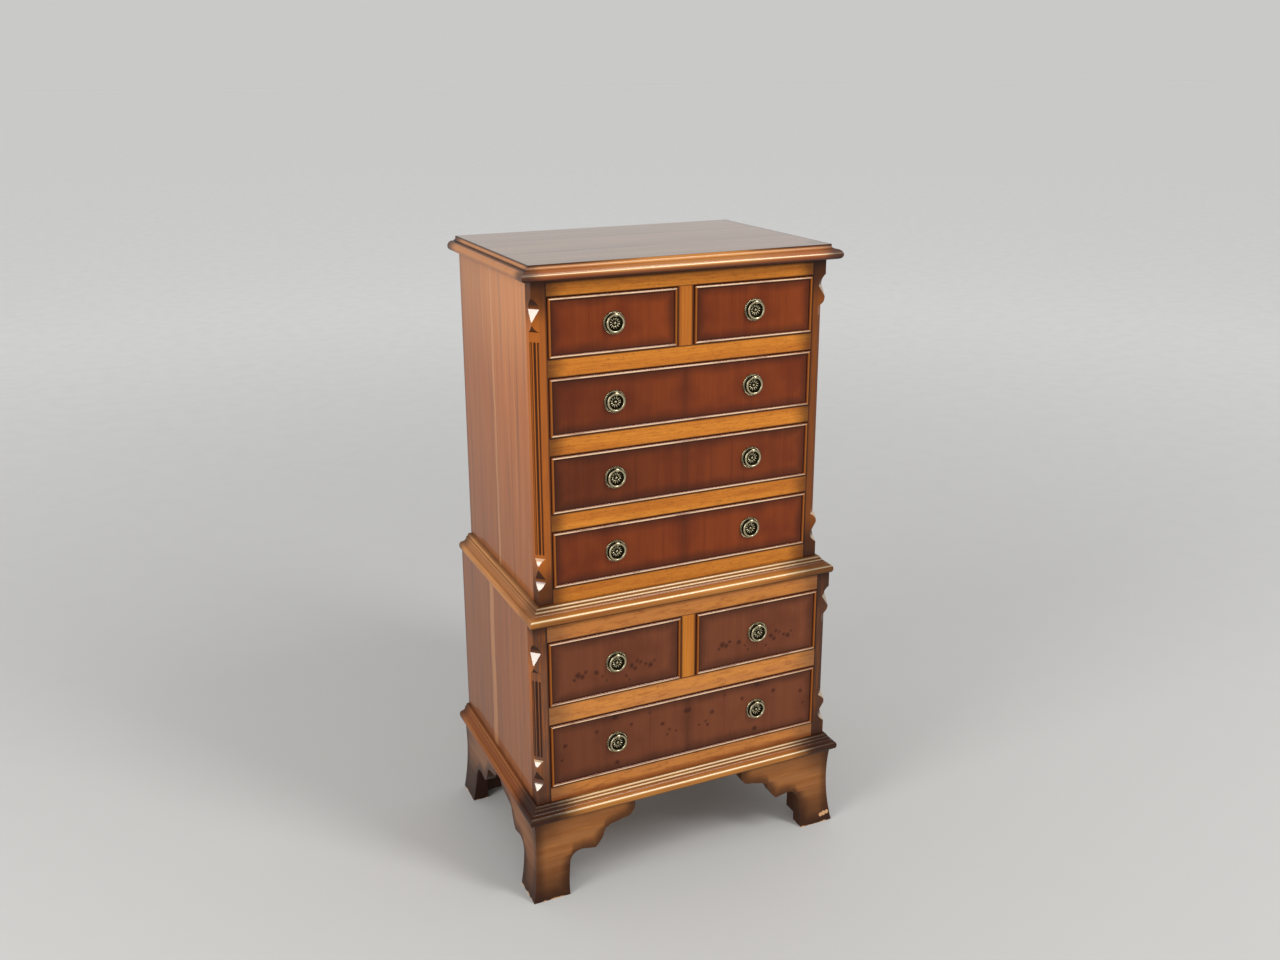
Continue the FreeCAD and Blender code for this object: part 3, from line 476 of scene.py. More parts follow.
def rail_finish(chest, finish):
    """Solid yew rails, golden in the middle and stained darker where they meet the posts."""
    low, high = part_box(chest + "_front_rails")
    reach_in = RAIL_ENDS[chest] * MM
    material, tree, place, (x, y, z) = new_finish("yew_rails_" + chest)
    figure = yew_figure(tree, place, X)
    wood = stain(tree, finish.rail_dark, finish.rail, figure, -0.4, 1.2)
    aside = smeared(tree, place, from_line(tree, x, 0.0), 24.0, 16.0)
    wood = stain(tree, wood, finish.glaze_and_shade, aside, high.x - reach_in, high.x - 6 * MM, 0.72)
    flecks = streaks(tree, place, X, 1.2, 7.0, 11.0)
    wood = stain(tree, wood, finish.glaze_and_shade, flecks, 0.56, 0.74, 0.6)
    # The rails of the lower chest are paler and mottled brown
    pale, brown = (0.0, 0.2) if chest == "upper" else (0.3, 0.35)
    wood = stain(tree, wood, finish.sapwood_and_light, figure, 2.0, 0.0, pale)
    mottle = streaks(tree, place, X, 5.0, 20.0, 4.0)
    wood = stain(tree, wood, finish.veneer_dark_and_shade, mottle, 0.45, 0.7, brown)
    # Some rails are darker in bands
    for clear, deep, strength in RAIL_SHADE[chest]:
        wood = stain(tree, wood, finish.veneer_dark_and_shade, z, clear * MM, deep * MM, strength)
    # Dark lines of glaze and painted gap shade lie along the drawers' openings, and a painted shadow of the
    # top or the waist moulding lies along the top of the uppermost rail
    drawers = [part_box(name + "_drawer_front") for name in DRAWERS]
    edges = {corner.z for box in drawers for corner in box if low.z < corner.z < high.z}
    from_opening = nearest_line(tree, z, sorted(edges))
    wood = stain(tree, wood, finish.glaze_and_shade, from_opening, 2.8 * MM, 1.2 * MM, 0.85)
    depth, painted_shadow = (7.0, 0.9) if chest == "upper" else (5.0, 0.3)
    wood = stain(tree, wood, finish.glaze_and_shade, z, high.z - depth * MM, high.z - 0.4 * depth * MM, painted_shadow)
    return lacquer(material, tree, wood, figure, finish.gloss)


def divider_finish(chest, finish):
    """The upright between short drawers: the rails' yew with its grain upright."""
    material, tree, place, (x, y, z) = new_finish("yew_divider_" + chest)
    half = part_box(chest + "_drawer_divider")[1].x
    figure = yew_figure(tree, place, Z, 2.0)
    wood = stain(tree, finish.rail_dark, finish.rail, figure, -0.4, 1.2)
    tone, strength = (finish.veneer, 0.5) if chest == "upper" else (finish.moulding_dark_and_shade, 0.2)
    wood = stain(tree, wood, tone, figure, 2.0, 0.0, strength)
    aside = from_line(tree, x, 0.0)
    wood = stain(tree, wood, finish.veneer_dark_and_shade, aside, 0.4 * half, half, 0.4)
    # Glaze and painted gap shade make a dark line along its edges, beside the drawers
    wood = stain(tree, wood, finish.glaze_and_shade, aside, half - 3.0 * MM, half - 1.2 * MM, 0.8)
    return lacquer(material, tree, wood, figure, finish.gloss)


def post_finish(chest, moulding, finish):
    """Carved yew posts: brown, with dark glaze left lying in the flutes and the stops, and painted
    highlights and shade on the stops' facets.
    """
    low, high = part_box(chest + "_corner_post_right")
    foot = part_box(moulding)[1].z
    # How golden the ridges are, how far painted shade darkens the side and how dark the glaze lies over the
    # stops
    ridge_gold, side_shading, stop_glaze = (0.75, 0.4, 0.78) if chest == "upper" else (0.4, 0.9, 0.5)
    material, tree, place, (x, y, z) = new_finish("yew_posts_" + chest)
    figure = yew_figure(tree, place, Z, 4.0)
    wood = stain(tree, finish.veneer_dark_and_shade, finish.post, figure, -0.5, 0.8)
    tawny = streaks(tree, place, Z, 3.0, 60.0, 8.0)
    wood = stain(tree, wood, finish.rail_dark, tawny, 0.45, 0.7, 0.75)
    aside = from_line(tree, x, 0.0)
    from_side = calc(tree, "SUBTRACT", high.x, aside)
    from_front = calc(tree, "SUBTRACT", y, low.y)
    # Inside the cant both distances are under its width; square to it, depth grows into the flutes
    reach = calc(tree, "MAXIMUM", from_side, from_front)
    both = calc(tree, "ADD", from_side, from_front)
    slope = math.sqrt(0.5)
    sunk = calc(tree, "MULTIPLY_ADD", both, slope, -POST_CANT * slope * MM)
    inside = calc(tree, "SUBTRACT", POST_CANT * MM, reach)
    groove = calc(tree, "MINIMUM", sunk, inside)
    wood = stain(tree, wood, finish.rail_dark, inside, -0.4 * MM, 0.4 * MM, ridge_gold)
    wood = stain(tree, wood, finish.rail_dark, from_front, 0.2 * MM, 0.1 * MM, 0.4)
    # The lower posts are greyer than the upper ones, and the right posts are darker than the left
    if chest == "lower":
        wood = stain(tree, wood, finish.side_shade, tawny, 0.75, 0.42, 0.9)
    wood = stain(tree, wood, finish.glaze_and_shade, x, 0.0, high.x, 0.5)
    wood = stain(tree, wood, finish.glaze_and_shade, groove, 0.1 * MM, 0.75 * FLUTE_DEPTH * MM, 0.9)
    # Glaze and painted gap shade make a dark line against the drawers' beads
    inner = calc(tree, "SUBTRACT", from_side, high.x - low.x)
    wood = stain(tree, wood, finish.glaze_and_shade, inner, -3.0 * MM, -0.8 * MM, 0.75)
    # The side of the post is toned in with the panel behind it, painted shade and all
    side_wood = stain(tree, finish.side_dark, finish.side, figure, 0.0, 1.0)
    side_wood = stain(tree, side_wood, finish.side_shade, z, high.z, low.z, side_shading)
    wood = stain(tree, wood, side_wood, from_side, 0.4 * MM, 0.1 * MM, 0.9)
    from_foot = calc(tree, "SUBTRACT", z, foot)
    from_head = calc(tree, "SUBTRACT", high.z, z)
    ends = calc(tree, "MINIMUM", from_foot, from_head)
    ragged_ends = smeared(tree, place, ends, 20.0, 16.0)
    wood = stain(tree, wood, finish.glaze_and_shade, ragged_ends, STOP_REACH * MM, 20 * MM, stop_glaze)
    wood = stain(tree, wood, finish.glaze_and_shade, ends, 14 * MM, 2 * MM, 0.6)
    # The facets of the stops that face up were cut clean and polished like glass, and are painted pale,
    # partly as wear and partly as a highlight; painted shade darkens those that face down
    facing = add(tree, "ShaderNodeNewGeometry", out="Normal")
    upward = add(tree, "ShaderNodeSeparateXYZ", {0: facing}, out=Z)
    carved = calc(tree, "LESS_THAN", ends, STOP_REACH * MM)
    upward = calc(tree, "MULTIPLY", upward, carved)
    wood = stain(tree, wood, finish.moulding_worn_and_highlight, upward, 0.3, 0.5, 0.35)
    wood = stain(tree, wood, finish.glaze_and_shade, upward, -0.15, -0.4, 0.85)
    shine = add(tree, RANGE, {
        "Value": upward, "From Min": 0.25, "From Max": 0.4, "To Min": 0.12, "To Max": 1.0})
    return lacquer(material, tree, wood, figure, shine, index=2.0)


def side_finish(chest, finish):
    """Side panels in straight-grained yew, paler and pinker than the front, with a streak of sapwood."""
    low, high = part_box(chest + "_side_left")
    # The streak is broad in the lower chest and narrow in the upper one, which has less painted shade
    streak_half, shade_top, shade_foot = (4.5, 0.0, 0.42) if chest == "upper" else (9.0, 0.5, 0.62)
    material, tree, place, (x, y, z) = new_finish("yew_side_" + chest)
    figure = yew_figure(tree, place, Z, 7.0)
    wood = stain(tree, finish.side_dark, finish.side, figure, 0.0, 1.0)
    faint = streaks(tree, place, Z, 9.0, 300.0, 15.0)
    wood = stain(tree, wood, finish.sapwood_and_light, faint, 0.54, 0.76, 0.3)
    wood = stain(tree, wood, finish.side_shade, faint, 0.5, 0.28, 0.6)
    # Painted shade and floor reflection darken the sides towards the foot and the whole lower panel, they
    # are darker towards the back, and painted light brightens the top of the upper panel
    wood = stain(tree, wood, finish.sapwood_and_light, z, PAINTED_LIGHT_START * MM, PAINTED_LIGHT_END * MM, 0.42)
    wood = stain(tree, wood, finish.side_shade, z, 2 * high.z - low.z, high.z, shade_top)
    wood = stain(tree, wood, finish.side_shade, z, high.z, low.z, shade_foot - shade_top)
    wood = stain(tree, wood, finish.side_shade, y, low.y + 40 * MM, high.y, 0.3)
    # The streak of sapwood wanders from front to back on its way down, and has faint dark lines beside it
    height = add(tree, COMBINE, {"Z": z})
    beside = from_line(tree, smeared(tree, height, y, 110.0, 16.0), SAPWOOD_LINE * MM)
    wood = stain(tree, wood, finish.glaze_and_shade, beside, (streak_half + 5) * MM, streak_half * MM, 0.12)
    wood = stain(tree, wood, finish.sapwood_and_light, beside, (streak_half + 1) * MM, (streak_half - 2) * MM, 0.38)
    # Glaze lies along the back edge and in the joint with the moulding
    from_back = calc(tree, "SUBTRACT", high.y, y)
    wood = stain(tree, wood, finish.glaze_and_shade, from_back, 9 * MM, 1 * MM, 0.4)
    from_foot = calc(tree, "SUBTRACT", z, low.z)
    wood = stain(tree, wood, finish.glaze_and_shade, from_foot, 34 * MM, 20 * MM, 0.4)
    return lacquer(material, tree, wood, figure, finish.side_gloss)


def moulding_finish(node, finish):
    """Run mouldings: golden yew, glaze in each quirk and rubbed dark at the mitres and the back ends."""
    chest, clear_left, mitre_glaze, side_tone, side_share = RUNS[node]
    low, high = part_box(node)
    half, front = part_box(chest + "_side_right")[1].x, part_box(chest + "_front_rails")[0].y
    material, tree, place, (x, y, z) = new_finish("yew_" + node)
    aside = from_line(tree, x, 0.0)
    past_side = calc(tree, "SUBTRACT", aside, half)
    past_front = calc(tree, "SUBTRACT", front, y)
    # Past the mitre, the grain runs from front to back
    on_side = calc(tree, "GREATER_THAN", past_side, past_front)
    along = add(tree, MIX, {MIX_FACTOR: on_side, MIX_VALUE_FROM: x, MIX_VALUE_TO: y}, data_type="FLOAT")
    run = add(tree, COMBINE, {"X": along, "Y": on_side, "Z": z})
    figure = yew_figure(tree, run, X, 9.0)
    wood = stain(tree, finish.moulding_dark_and_shade, finish.moulding, figure, 0.0, 1.0)
    flecks = streaks(tree, run, X, 1.2, 9.0, 3.0)
    wood = stain(tree, wood, finish.glaze_and_shade, flecks, 0.58, 0.78, 0.4)
    # Heights are shares of the moulding's own: painted shade darkens the hollow and the underside, and
    # glaze lies in the quirks
    height = add(tree, RANGE, {"Value": z, "From Min": low.z, "From Max": high.z})
    from_hollow = from_line(tree, height, MOULDING_HOLLOW)
    wood = stain(tree, wood, finish.moulding_dark_and_shade, from_hollow, 0.12, 0.03, 0.8)
    for quirk in MOULDING_QUIRKS:
        wood = stain(tree, wood, finish.glaze_and_shade, from_line(tree, height, quirk), 0.06, 0.02, 0.5)
    wood = stain(tree, wood, finish.glaze_and_shade, height, 0.16, 0.03, 0.75)
    # Along the front the crests are pale, partly with wear and partly with a painted highlight; the sides
    # have a tone of their own
    side_wood = blend(tree, wood, getattr(finish, side_tone), side_share)
    for crest, strength in MOULDING_CRESTS:
        wood = stain(tree, wood, finish.moulding_worn_and_highlight, from_line(tree, height, crest), 0.05, 0.01, strength)
    wood = stain(tree, wood, side_wood, on_side, 0.0, 1.0)
    corner = add(tree, COMBINE, {"X": aside, "Y": y})
    reach = distance(tree, corner, (half, front, 0.0))
    spared = add(tree, RANGE, {
        "Value": x, "From Min": -MM, "From Max": MM, "To Min": clear_left * MM, "To Max": 0.0})
    reach = calc(tree, "ADD", reach, spared)
    ragged_mitre = smeared(tree, place, reach, 20.0, 24.0)
    wood = stain(tree, wood, finish.glaze_and_shade, ragged_mitre, 76 * MM, 20 * MM, mitre_glaze)
    from_back = calc(tree, "SUBTRACT", high.y, y)
    wood = stain(tree, wood, finish.glaze_and_shade, from_back, 30 * MM, 0.0, 0.7)
    return lacquer(material, tree, wood, figure, finish.gloss)


def top_finish(finish):
    """The top: polished veneer inside a moulded edge of solid golden yew."""
    low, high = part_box("top_board")
    material, tree, place, (x, y, z) = new_finish("yew_top")
    figure = yew_figure(tree, place, X, 12.0)
    veneer = stain(tree, finish.side_shade, finish.top, figure, -0.1, 0.8)
    flat = add(tree, COMBINE, {"X": x, "Z": y})
    veneer = stain(tree, veneer, finish.glaze_and_shade, nearest_mark(tree, flat, TOP_SCUFFS), 1.6, 0.5, 0.8)
    # A dark line of glaze runs round the flat, just inside its edge, and is rubbed thin at the front
    flat_x, flat_y = high.x - TOP_EDGE * MM, low.y + TOP_EDGE * MM
    aside = from_line(tree, x, 0.0)
    from_end = calc(tree, "SUBTRACT", flat_x, aside)
    from_front = calc(tree, "SUBTRACT", y, flat_y)
    veneer = stain(tree, veneer, finish.glaze_and_shade, from_front, 2.6 * MM, 0.8 * MM, 0.65)
    veneer = stain(tree, veneer, finish.glaze_and_shade, from_end, 3.2 * MM, 1.0 * MM, 0.9)
    edge = stain(tree, finish.rail_dark, finish.moulding, figure, -0.3, 0.5)
    height = add(tree, RANGE, {"Value": z, "From Min": low.z, "From Max": high.z})
    # Painted shade darkens the hollow and the lower half of the nose
    edge = stain(tree, edge, finish.moulding_dark_and_shade, from_line(tree, height, TOP_HOLLOW), 0.16, 0.05, 0.6)
    edge = stain(tree, edge, finish.veneer_dark_and_shade, height, 0.4, 0.24, 0.8)
    ragged_aside = smeared(tree, place, aside, 30.0, 60.0)
    edge = stain(tree, edge, finish.veneer, ragged_aside, 60 * MM, 190 * MM, 0.55)
    # The ends are glazed in their quirks; the front edge is pale on its crests, partly with wear and partly
    # with a painted highlight, darkest with painted shade under its nose and darker towards the right
    end = blend(tree, edge, finish.sapwood_and_light, 0.35)
    for quirk in TOP_QUIRKS:
        end = stain(tree, end, finish.glaze_and_shade, from_line(tree, height, quirk), 0.08, 0.03, 0.8)
    for crest, clear, full, strength in TOP_CRESTS:
        from_crest = from_line(tree, height, crest)
        edge = stain(tree, edge, finish.moulding_worn_and_highlight, from_crest, clear, full, strength)
    edge = stain(tree, edge, finish.glaze_and_shade, height, 0.2, 0.06, 0.85)
    lined = stain(tree, edge, finish.glaze_and_shade, from_line(tree, height, TOP_QUIRKS[-1]), 0.09, 0.03, 0.9)
    edge = stain(tree, edge, lined, ragged_aside, 40 * MM, 150 * MM)
    edge = stain(tree, edge, finish.glaze_and_shade, x, 170 * MM, 235 * MM, 0.4)
    on_end = calc(tree, "ADD", aside, y)
    edge = stain(tree, edge, end, on_end, high.x + low.y - MM, high.x + low.y + MM)
    corner = add(tree, COMBINE, {"X": aside, "Y": y})
    reach = distance(tree, corner, (high.x, low.y, 0.0))
    ragged_corner = smeared(tree, place, reach, 16.0, 16.0)
    edge = stain(tree, edge, finish.glaze_and_shade, ragged_corner, 34 * MM, 8 * MM, 0.8)
    from_back = calc(tree, "SUBTRACT", high.y, y)
    edge = stain(tree, edge, finish.glaze_and_shade, from_back, 40 * MM, 4 * MM, 0.85)
    wood = stain(tree, edge, veneer, z, high.z - 0.3 * MM, high.z - 0.1 * MM)
    # The flat was burnished to a mirror; its dark line and moulded edge are duller
    inside = calc(tree, "MINIMUM", from_end, from_front)
    shine = add(tree, RANGE, {
        "Value": inside, "From Min": 0.8 * MM, "From Max": 1.6 * MM,
        "To Min": 0.5 * finish.gloss, "To Max": finish.top_gloss})
    return lacquer(material, tree, wood, figure, shine, ground_gloss=0.25, index=1.8)


def scroll_cut(tree, share, points, size):
    """Where a bracket's scroll is cut at a share of the bracket: a line through points, times a size."""
    cut = add(tree, "ShaderNodeFloatCurve", {"Value": share})
    line = cut.node.mapping.curves[0]
    for point in points[1:-1]:
        line.points.new(*point)
    line.points[0].location, line.points[-1].location = points[0], points[-1]
    for point in line.points:
        point.handle_type = "VECTOR"
    cut.node.mapping.update()
    return calc(tree, "MULTIPLY", cut, size)


def foot_finish(finish):
    """Bracket feet: golden in the middle, glazed round the scroll and the corner, worn at the floor."""
    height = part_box("base_moulding")[0].z
    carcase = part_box("lower_side_right")[1].x
    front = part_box("lower_front_rails")[0].y - FOOT_PROUD * MM
    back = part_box("lower_side_right")[1].y
    material, tree, place, (x, y, z) = new_finish("yew_feet")
    aside = from_line(tree, x, 0.0)
    along_front = calc(tree, "SUBTRACT", carcase + FOOT_PROUD * MM, aside)
    off_middle = from_line(tree, y, (back + front) / 2)
    along_side = calc(tree, "SUBTRACT", (back - front) / 2, off_middle)
    along = calc(tree, "MAXIMUM", along_front, along_side)
    flat = add(tree, COMBINE, {"X": along, "Z": z})
    figure = yew_figure(tree, flat, X, 14.0)
    wood = stain(tree, finish.moulding_dark_and_shade, finish.foot, figure, -0.2, 1.0)
    ribbons = streaks(tree, flat, X, 9.0, 60.0, 2.0)
    wood = stain(tree, wood, finish.rail, ribbons, 0.52, 0.75, 0.3)
    # Painted shade and floor reflection grey the side faces of the feet
    on_side = calc(tree, "GREATER_THAN", along_side, along_front)
    wood = stain(tree, wood, finish.side_shade, on_side, 0.0, 1.0, 0.5)
    # Glaze follows the cut scroll, seen along the bracket and up it
    up_share = calc(tree, "DIVIDE", z, height)
    along_share = calc(tree, "DIVIDE", along, BRACKET_LENGTH * MM)
    cut_along = scroll_cut(tree, up_share, SCROLL_REACHES, BRACKET_LENGTH * MM)
    cut_up = scroll_cut(tree, along_share, SCROLL_HEIGHTS, height)
    short_of_cut = calc(tree, "SUBTRACT", cut_along, along)
    above_cut = calc(tree, "SUBTRACT", z, cut_up)
    inside = calc(tree, "MINIMUM", short_of_cut, above_cut)
    wood = stain(tree, wood, finish.glaze_and_shade, smeared(tree, place, inside, 20.0, 6.0), 20 * MM, 2 * MM, 0.75)
    # Glaze also lies at the corner; painted shadow darkens the feet under the base moulding, and they are
    # darker towards the floor
    wood = stain(tree, wood, finish.glaze_and_shade, along, 18 * MM, 3 * MM, 0.6)
    crown = distance(tree, flat, (0.0, 0.0, height))
    wood = stain(tree, wood, finish.glaze_and_shade, smeared(tree, place, crown, 20.0, 12.0), 64 * MM, 12 * MM, 0.6)
    wood = stain(tree, wood, finish.glaze_and_shade, smeared(tree, place, z, 20.0, 14.0), 80 * MM, 8 * MM, 0.75)
    wood = stain(tree, wood, finish.glaze_and_shade, z, height - 5 * MM, height, 0.4)
    # Painted shade darkens the back feet nearly to black towards the floor
    at_back = calc(tree, "GREATER_THAN", y, 0.0)
    sunk = calc(tree, "MULTIPLY_ADD", at_back, -BACK_SHADE_START * MM, z)
    wood = stain(tree, wood, finish.glaze_and_shade, sunk, 0.0, (BACK_SHADE_END - BACK_SHADE_START) * MM, 0.75)
    # The stain is worn off the very edge that stands on the floor, and chipped off one toe
    wood = stain(tree, wood, finish.raw, smeared(tree, place, z, 9.0, 9.0), 1.5 * MM, -0.5 * MM, 0.7)
    face = add(tree, COMBINE, {"X": x, "Z": z})
    elsewhere = calc(tree, "MAXIMUM", on_side, at_back)
    chip = nearest_mark(tree, face, TOE_CHIPS)
    chip = calc(tree, "MULTIPLY_ADD", elsewhere, FAR_OFF, chip)
    wood = stain(tree, wood, finish.raw, chip, 1.15, 0.85, 0.85)
    return lacquer(material, tree, wood, figure, finish.gloss)


def plain_wood_finish(name, wood_colour, axis):
    """Plain sawn and sanded wood with no polish, as inside a drawer."""
    material, tree, place, parts = new_finish(name)
    figure = yew_figure(tree, place, axis, 20.0)
    dark = [channel * 0.72 for channel in wood_colour[:3]] + [1.0]
    wood = stain(tree, dark, wood_colour, figure, 0.0, 1.0)
    fuzz = add(tree, "ShaderNodeBump", {"Height": figure, "Strength": 0.3, "Distance": 0.1 * MM})
    return surfaced(material, {"Base Color": wood, "Roughness": 0.7, "Normal": fuzz})


def brass_finish(finish):
    """Cast brass, antiqued: rubbed bright on what stands up and tarnished nearly black in the hollows."""
    material, tree, place, parts = new_finish("antique_brass")
    hollow = add(tree, "ShaderNodeAttribute", out="Fac", attribute_name="hollow")
    blotch = add(tree, NOISE, {"Vector": place, "Scale": 1 / (3 * MM), "Detail": 3.0})
    tarnish = calc(tree, "MULTIPLY_ADD", blotch, 0.35, hollow)
    metal = stain(tree, finish.brass, finish.patina, tarnish, 0.15, 1.05)
    roughness = add(tree, RANGE, {"Value": tarnish, "From Min": 0.15, "To Min": 0.22, "To Max": 0.6})
    return surfaced(material, {"Base Color": metal, "Metallic": 1.0, "Roughness": roughness})


def dress(node, material):
    """Give a CAD node its finish."""
    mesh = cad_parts[node].data
    mesh.materials.clear()
    mesh.materials.append(material)


def spun(shape, hollow, points, centre, axis, steps):
    """Add an outline of points, each with its tarnish, spun once round an axis."""
    verts = []
    for point, tarnish in points:
        vert = shape.verts.new(point)
        vert[hollow] = tarnish
        verts.append(vert)
    edges = [shape.edges.new(pair) for pair in zip(verts, verts[1:])]
    bmesh.ops.spin(
        shape, geom=verts + edges, cent=centre, axis=axis, angle=2 * math.pi, steps=steps, use_merge=True)


def on_plate(radius, height):
    """A place on a pull's plate, from the middle of its back, by its radius and height in millimetres."""
    return Vector((radius * MM, -height * MM, 0.0))


def pull_plate(shape, hollow, spot, sizes):
    """One pull's plate: turned rim with pearls, a dull flat and a boss of petals round a bead."""
    outline = [(spot + on_plate(radius, height), tarnish) for radius, height, tarnish in PLATE_OUTLINE]
    spun(shape, hollow, outline, spot, (0.0, 1.0, 0.0), steps=72)
    for index in range(sizes.pearl_count):
        turn = Matrix.Rotation(2 * math.pi * index / sizes.pearl_count, 4, "Y")
        place = Matrix.Translation(spot) @ turn @ Matrix.Translation(on_plate(*PEARL_SEAT))
        bmesh.ops.create_icosphere(shape, subdivisions=1, radius=sizes.pearl_radius, matrix=place)
    slope = Matrix.Rotation(math.radians(-PETAL_SLOPE), 4, "Z")
    scale = Matrix.Diagonal((sizes.petal_length, sizes.petal_height, sizes.petal_width, 1.0))
    for index in range(sizes.petal_count):
        turn = Matrix.Rotation(2 * math.pi * (index + 0.5) / sizes.petal_count, 4, "Y")
        place = Matrix.Translation(spot) @ turn @ Matrix.Translation(on_plate(*PETAL_SEAT)) @ slope @ scale
        bmesh.ops.create_uvsphere(shape, u_segments=10, v_segments=8, radius=1.0, matrix=place)


def pull_bolt(shape, hollow, spot, eye):
    """The bolt behind a pull: an eye for the ring, a neck, a shank through the front and a nut."""
    section = [(eye + Vector((along * MM, 0.0, out * MM)), EYE_TARNISH) for along, out in EYE_SECTION]
    spun(shape, hollow, section, eye, (1.0, 0.0, 0.0), steps=28)
    lie = Matrix.Rotation(math.pi / 2, 4, "X")
    for sides, back, front, start, end in BOLT_BARS:
        middle = Vector((eye.x, spot.y - (start + end) / 2 * MM, eye.z))
        bmesh.ops.create_cone(
            shape, cap_ends=True, segments=sides, radius1=back * MM, radius2=front * MM,
            depth=(end - start) * MM, matrix=Matrix.Translation(middle) @ lie)


def new_piece(name, shape, material):
    """Put a shape into the scene as an object of one material."""
    mesh = bpy.data.meshes.new(name)
    shape.to_mesh(mesh)
    shape.free()
    mesh.materials.append(material)
    piece = bpy.data.objects.new(name, mesh)
    bpy.context.scene.collection.objects.link(piece)
    return piece


def sort_faces(shape):
    """List a shape's faces by their corners, since a spin leaves them in a chance order."""
    shape.verts.index_update()
    count = len(shape.verts)

    def rank(face):
        first, second, third = sorted(vert.index for vert in face.verts)[:3]
        return (first * count + second) * count + third

    shape.faces.sort(key=rank)


def finish_piece(name, shape, material, body, node):
    """Turn a shape into a piece that rides on a body and stands for a node."""
    bmesh.ops.remove_doubles(shape, verts=shape.verts, dist=MERGE_GAP * MM)
    bmesh.ops.recalc_face_normals(shape, faces=shape.faces)
    sort_faces(shape)
    for face in shape.faces:
        face.smooth = True
    for edge in shape.edges:
        edge.smooth = edge.calc_face_angle(0.0) < math.radians(SHARP_EDGE)
    piece = new_piece(name, shape, material)
    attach(piece, body)
    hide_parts(node)


class CHEST_OT_top(bpy.types.Operator):
    """Finish the top board"""
    bl_idname = "chest.top"
    bl_label = "Top"

    def execute(self, context):
        dress("top_board", top_finish(context.scene.chest_finish))
        return {"FINISHED"}


class CHEST_OT_sides(bpy.types.Operator):
    """Finish the side panels"""
    bl_idname = "chest.sides"
    bl_label = "Sides"

    def execute(self, context):
        for chest in CHESTS:
            material = side_finish(chest, context.scene.chest_finish)
            for hand in HANDS:
                dress(chest + "_side_" + hand, material)
        return {"FINISHED"}


class CHEST_OT_posts(bpy.types.Operator):
    """Finish the canted corner posts"""
    bl_idname = "chest.posts"
    bl_label = "Posts"

    def execute(self, context):
        for chest, moulding in (("upper", "waist_moulding"), ("lower", "base_moulding")):
            material = post_finish(chest, moulding, context.scene.chest_finish)
            for hand in HANDS:
                dress(chest + "_corner_post_" + hand, material)
        return {"FINISHED"}


class CHEST_OT_rails(bpy.types.Operator):
    """Finish the rails and the dividers"""
    bl_idname = "chest.rails"
    bl_label = "Rails"

    def execute(self, context):
        for chest in CHESTS:
            dress(chest + "_front_rails", rail_finish(chest, context.scene.chest_finish))
            dress(chest + "_drawer_divider", divider_finish(chest, context.scene.chest_finish))
        return {"FINISHED"}


class CHEST_OT_mouldings(bpy.types.Operator):
    """Finish the waist and base mouldings"""
    bl_idname = "chest.mouldings"
    bl_label = "Mouldings"

    def execute(self, context):
        for node in RUNS:
            dress(node, moulding_finish(node, context.scene.chest_finish))
        return {"FINISHED"}


class CHEST_OT_feet(bpy.types.Operator):
    """Finish the bracket feet"""
    bl_idname = "chest.feet"
    bl_label = "Feet"

    def execute(self, context):
        material = foot_finish(context.scene.chest_finish)
        for end in ("front", "back"):
            for hand in HANDS:
                dress("foot_" + end + "_" + hand, material)
        return {"FINISHED"}


class CHEST_OT_carcase(bpy.types.Operator):
    """Finish the runners, the boards and the backs"""
    bl_idname = "chest.carcase"
    bl_label = "Carcase inside"

    def execute(self, context):
        wood = context.scene.chest_finish.carcase_wood
        runner = plain_wood_finish("sawn_runners", wood, Y)
        board = plain_wood_finish("sawn_boards", wood, X)
        back = plain_wood_finish("back_boards", wood, Z)
        dress("carcase_boards", board)
        for chest in CHESTS:
            dress(chest + "_drawer_runners", runner)
            dress(chest + "_back_panel", back)
        return {"FINISHED"}


class CHEST_OT_drawers(bpy.types.Operator):
    """Finish the drawer fronts, their beads and the boxes behind them"""
    bl_idname = "chest.drawers"
    bl_label = "Drawers"

    def execute(self, context):
        finish = context.scene.chest_finish
        lining = plain_wood_finish("drawer_lining", finish.drawer_wood, Y)
        for drawer in DRAWERS:
            dress(drawer + "_drawer_front", drawer_front_finish(drawer, finish))
            dress(drawer + "_drawer_box", lining)
        return {"FINISHED"}


class CHEST_OT_pulls(bpy.types.Operator):
    """Make the ring pulls' plates and bolts, and finish the rings"""
    bl_idname = "chest.pulls"
    bl_label = "Ring pulls"

    def execute(self, context):
        brass = brass_finish(context.scene.chest_finish)
        for drawer in DRAWERS:
            rings = ["_left", "_right"] if drawer in LONG_DRAWERS else [""]
            shape = bmesh.new()
            hollow = shape.verts.layers.float.new("hollow")
            field_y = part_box(drawer + "_drawer_front")[0].y + BEAD_PROUD * MM
            for hand in rings:
                ring = drawer + "_drawer_ring" + hand
                low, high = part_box(ring)
                middle = (low + high) / 2
                wire = (high.y - low.y) / 2
                spot = Vector((middle.x, field_y, middle.z))
                eye = Vector((middle.x, middle.y, high.z - wire))
                pull_plate(shape, hollow, spot, context.scene.chest_pulls)
                pull_bolt(shape, hollow, spot, eye)
                dress(ring, brass)
            node = drawer + "_drawer_pull_fittings"
            finish_piece(drawer + "_pull_plates", shape, brass, drawer + "_drawer", node)
        return {"FINISHED"}


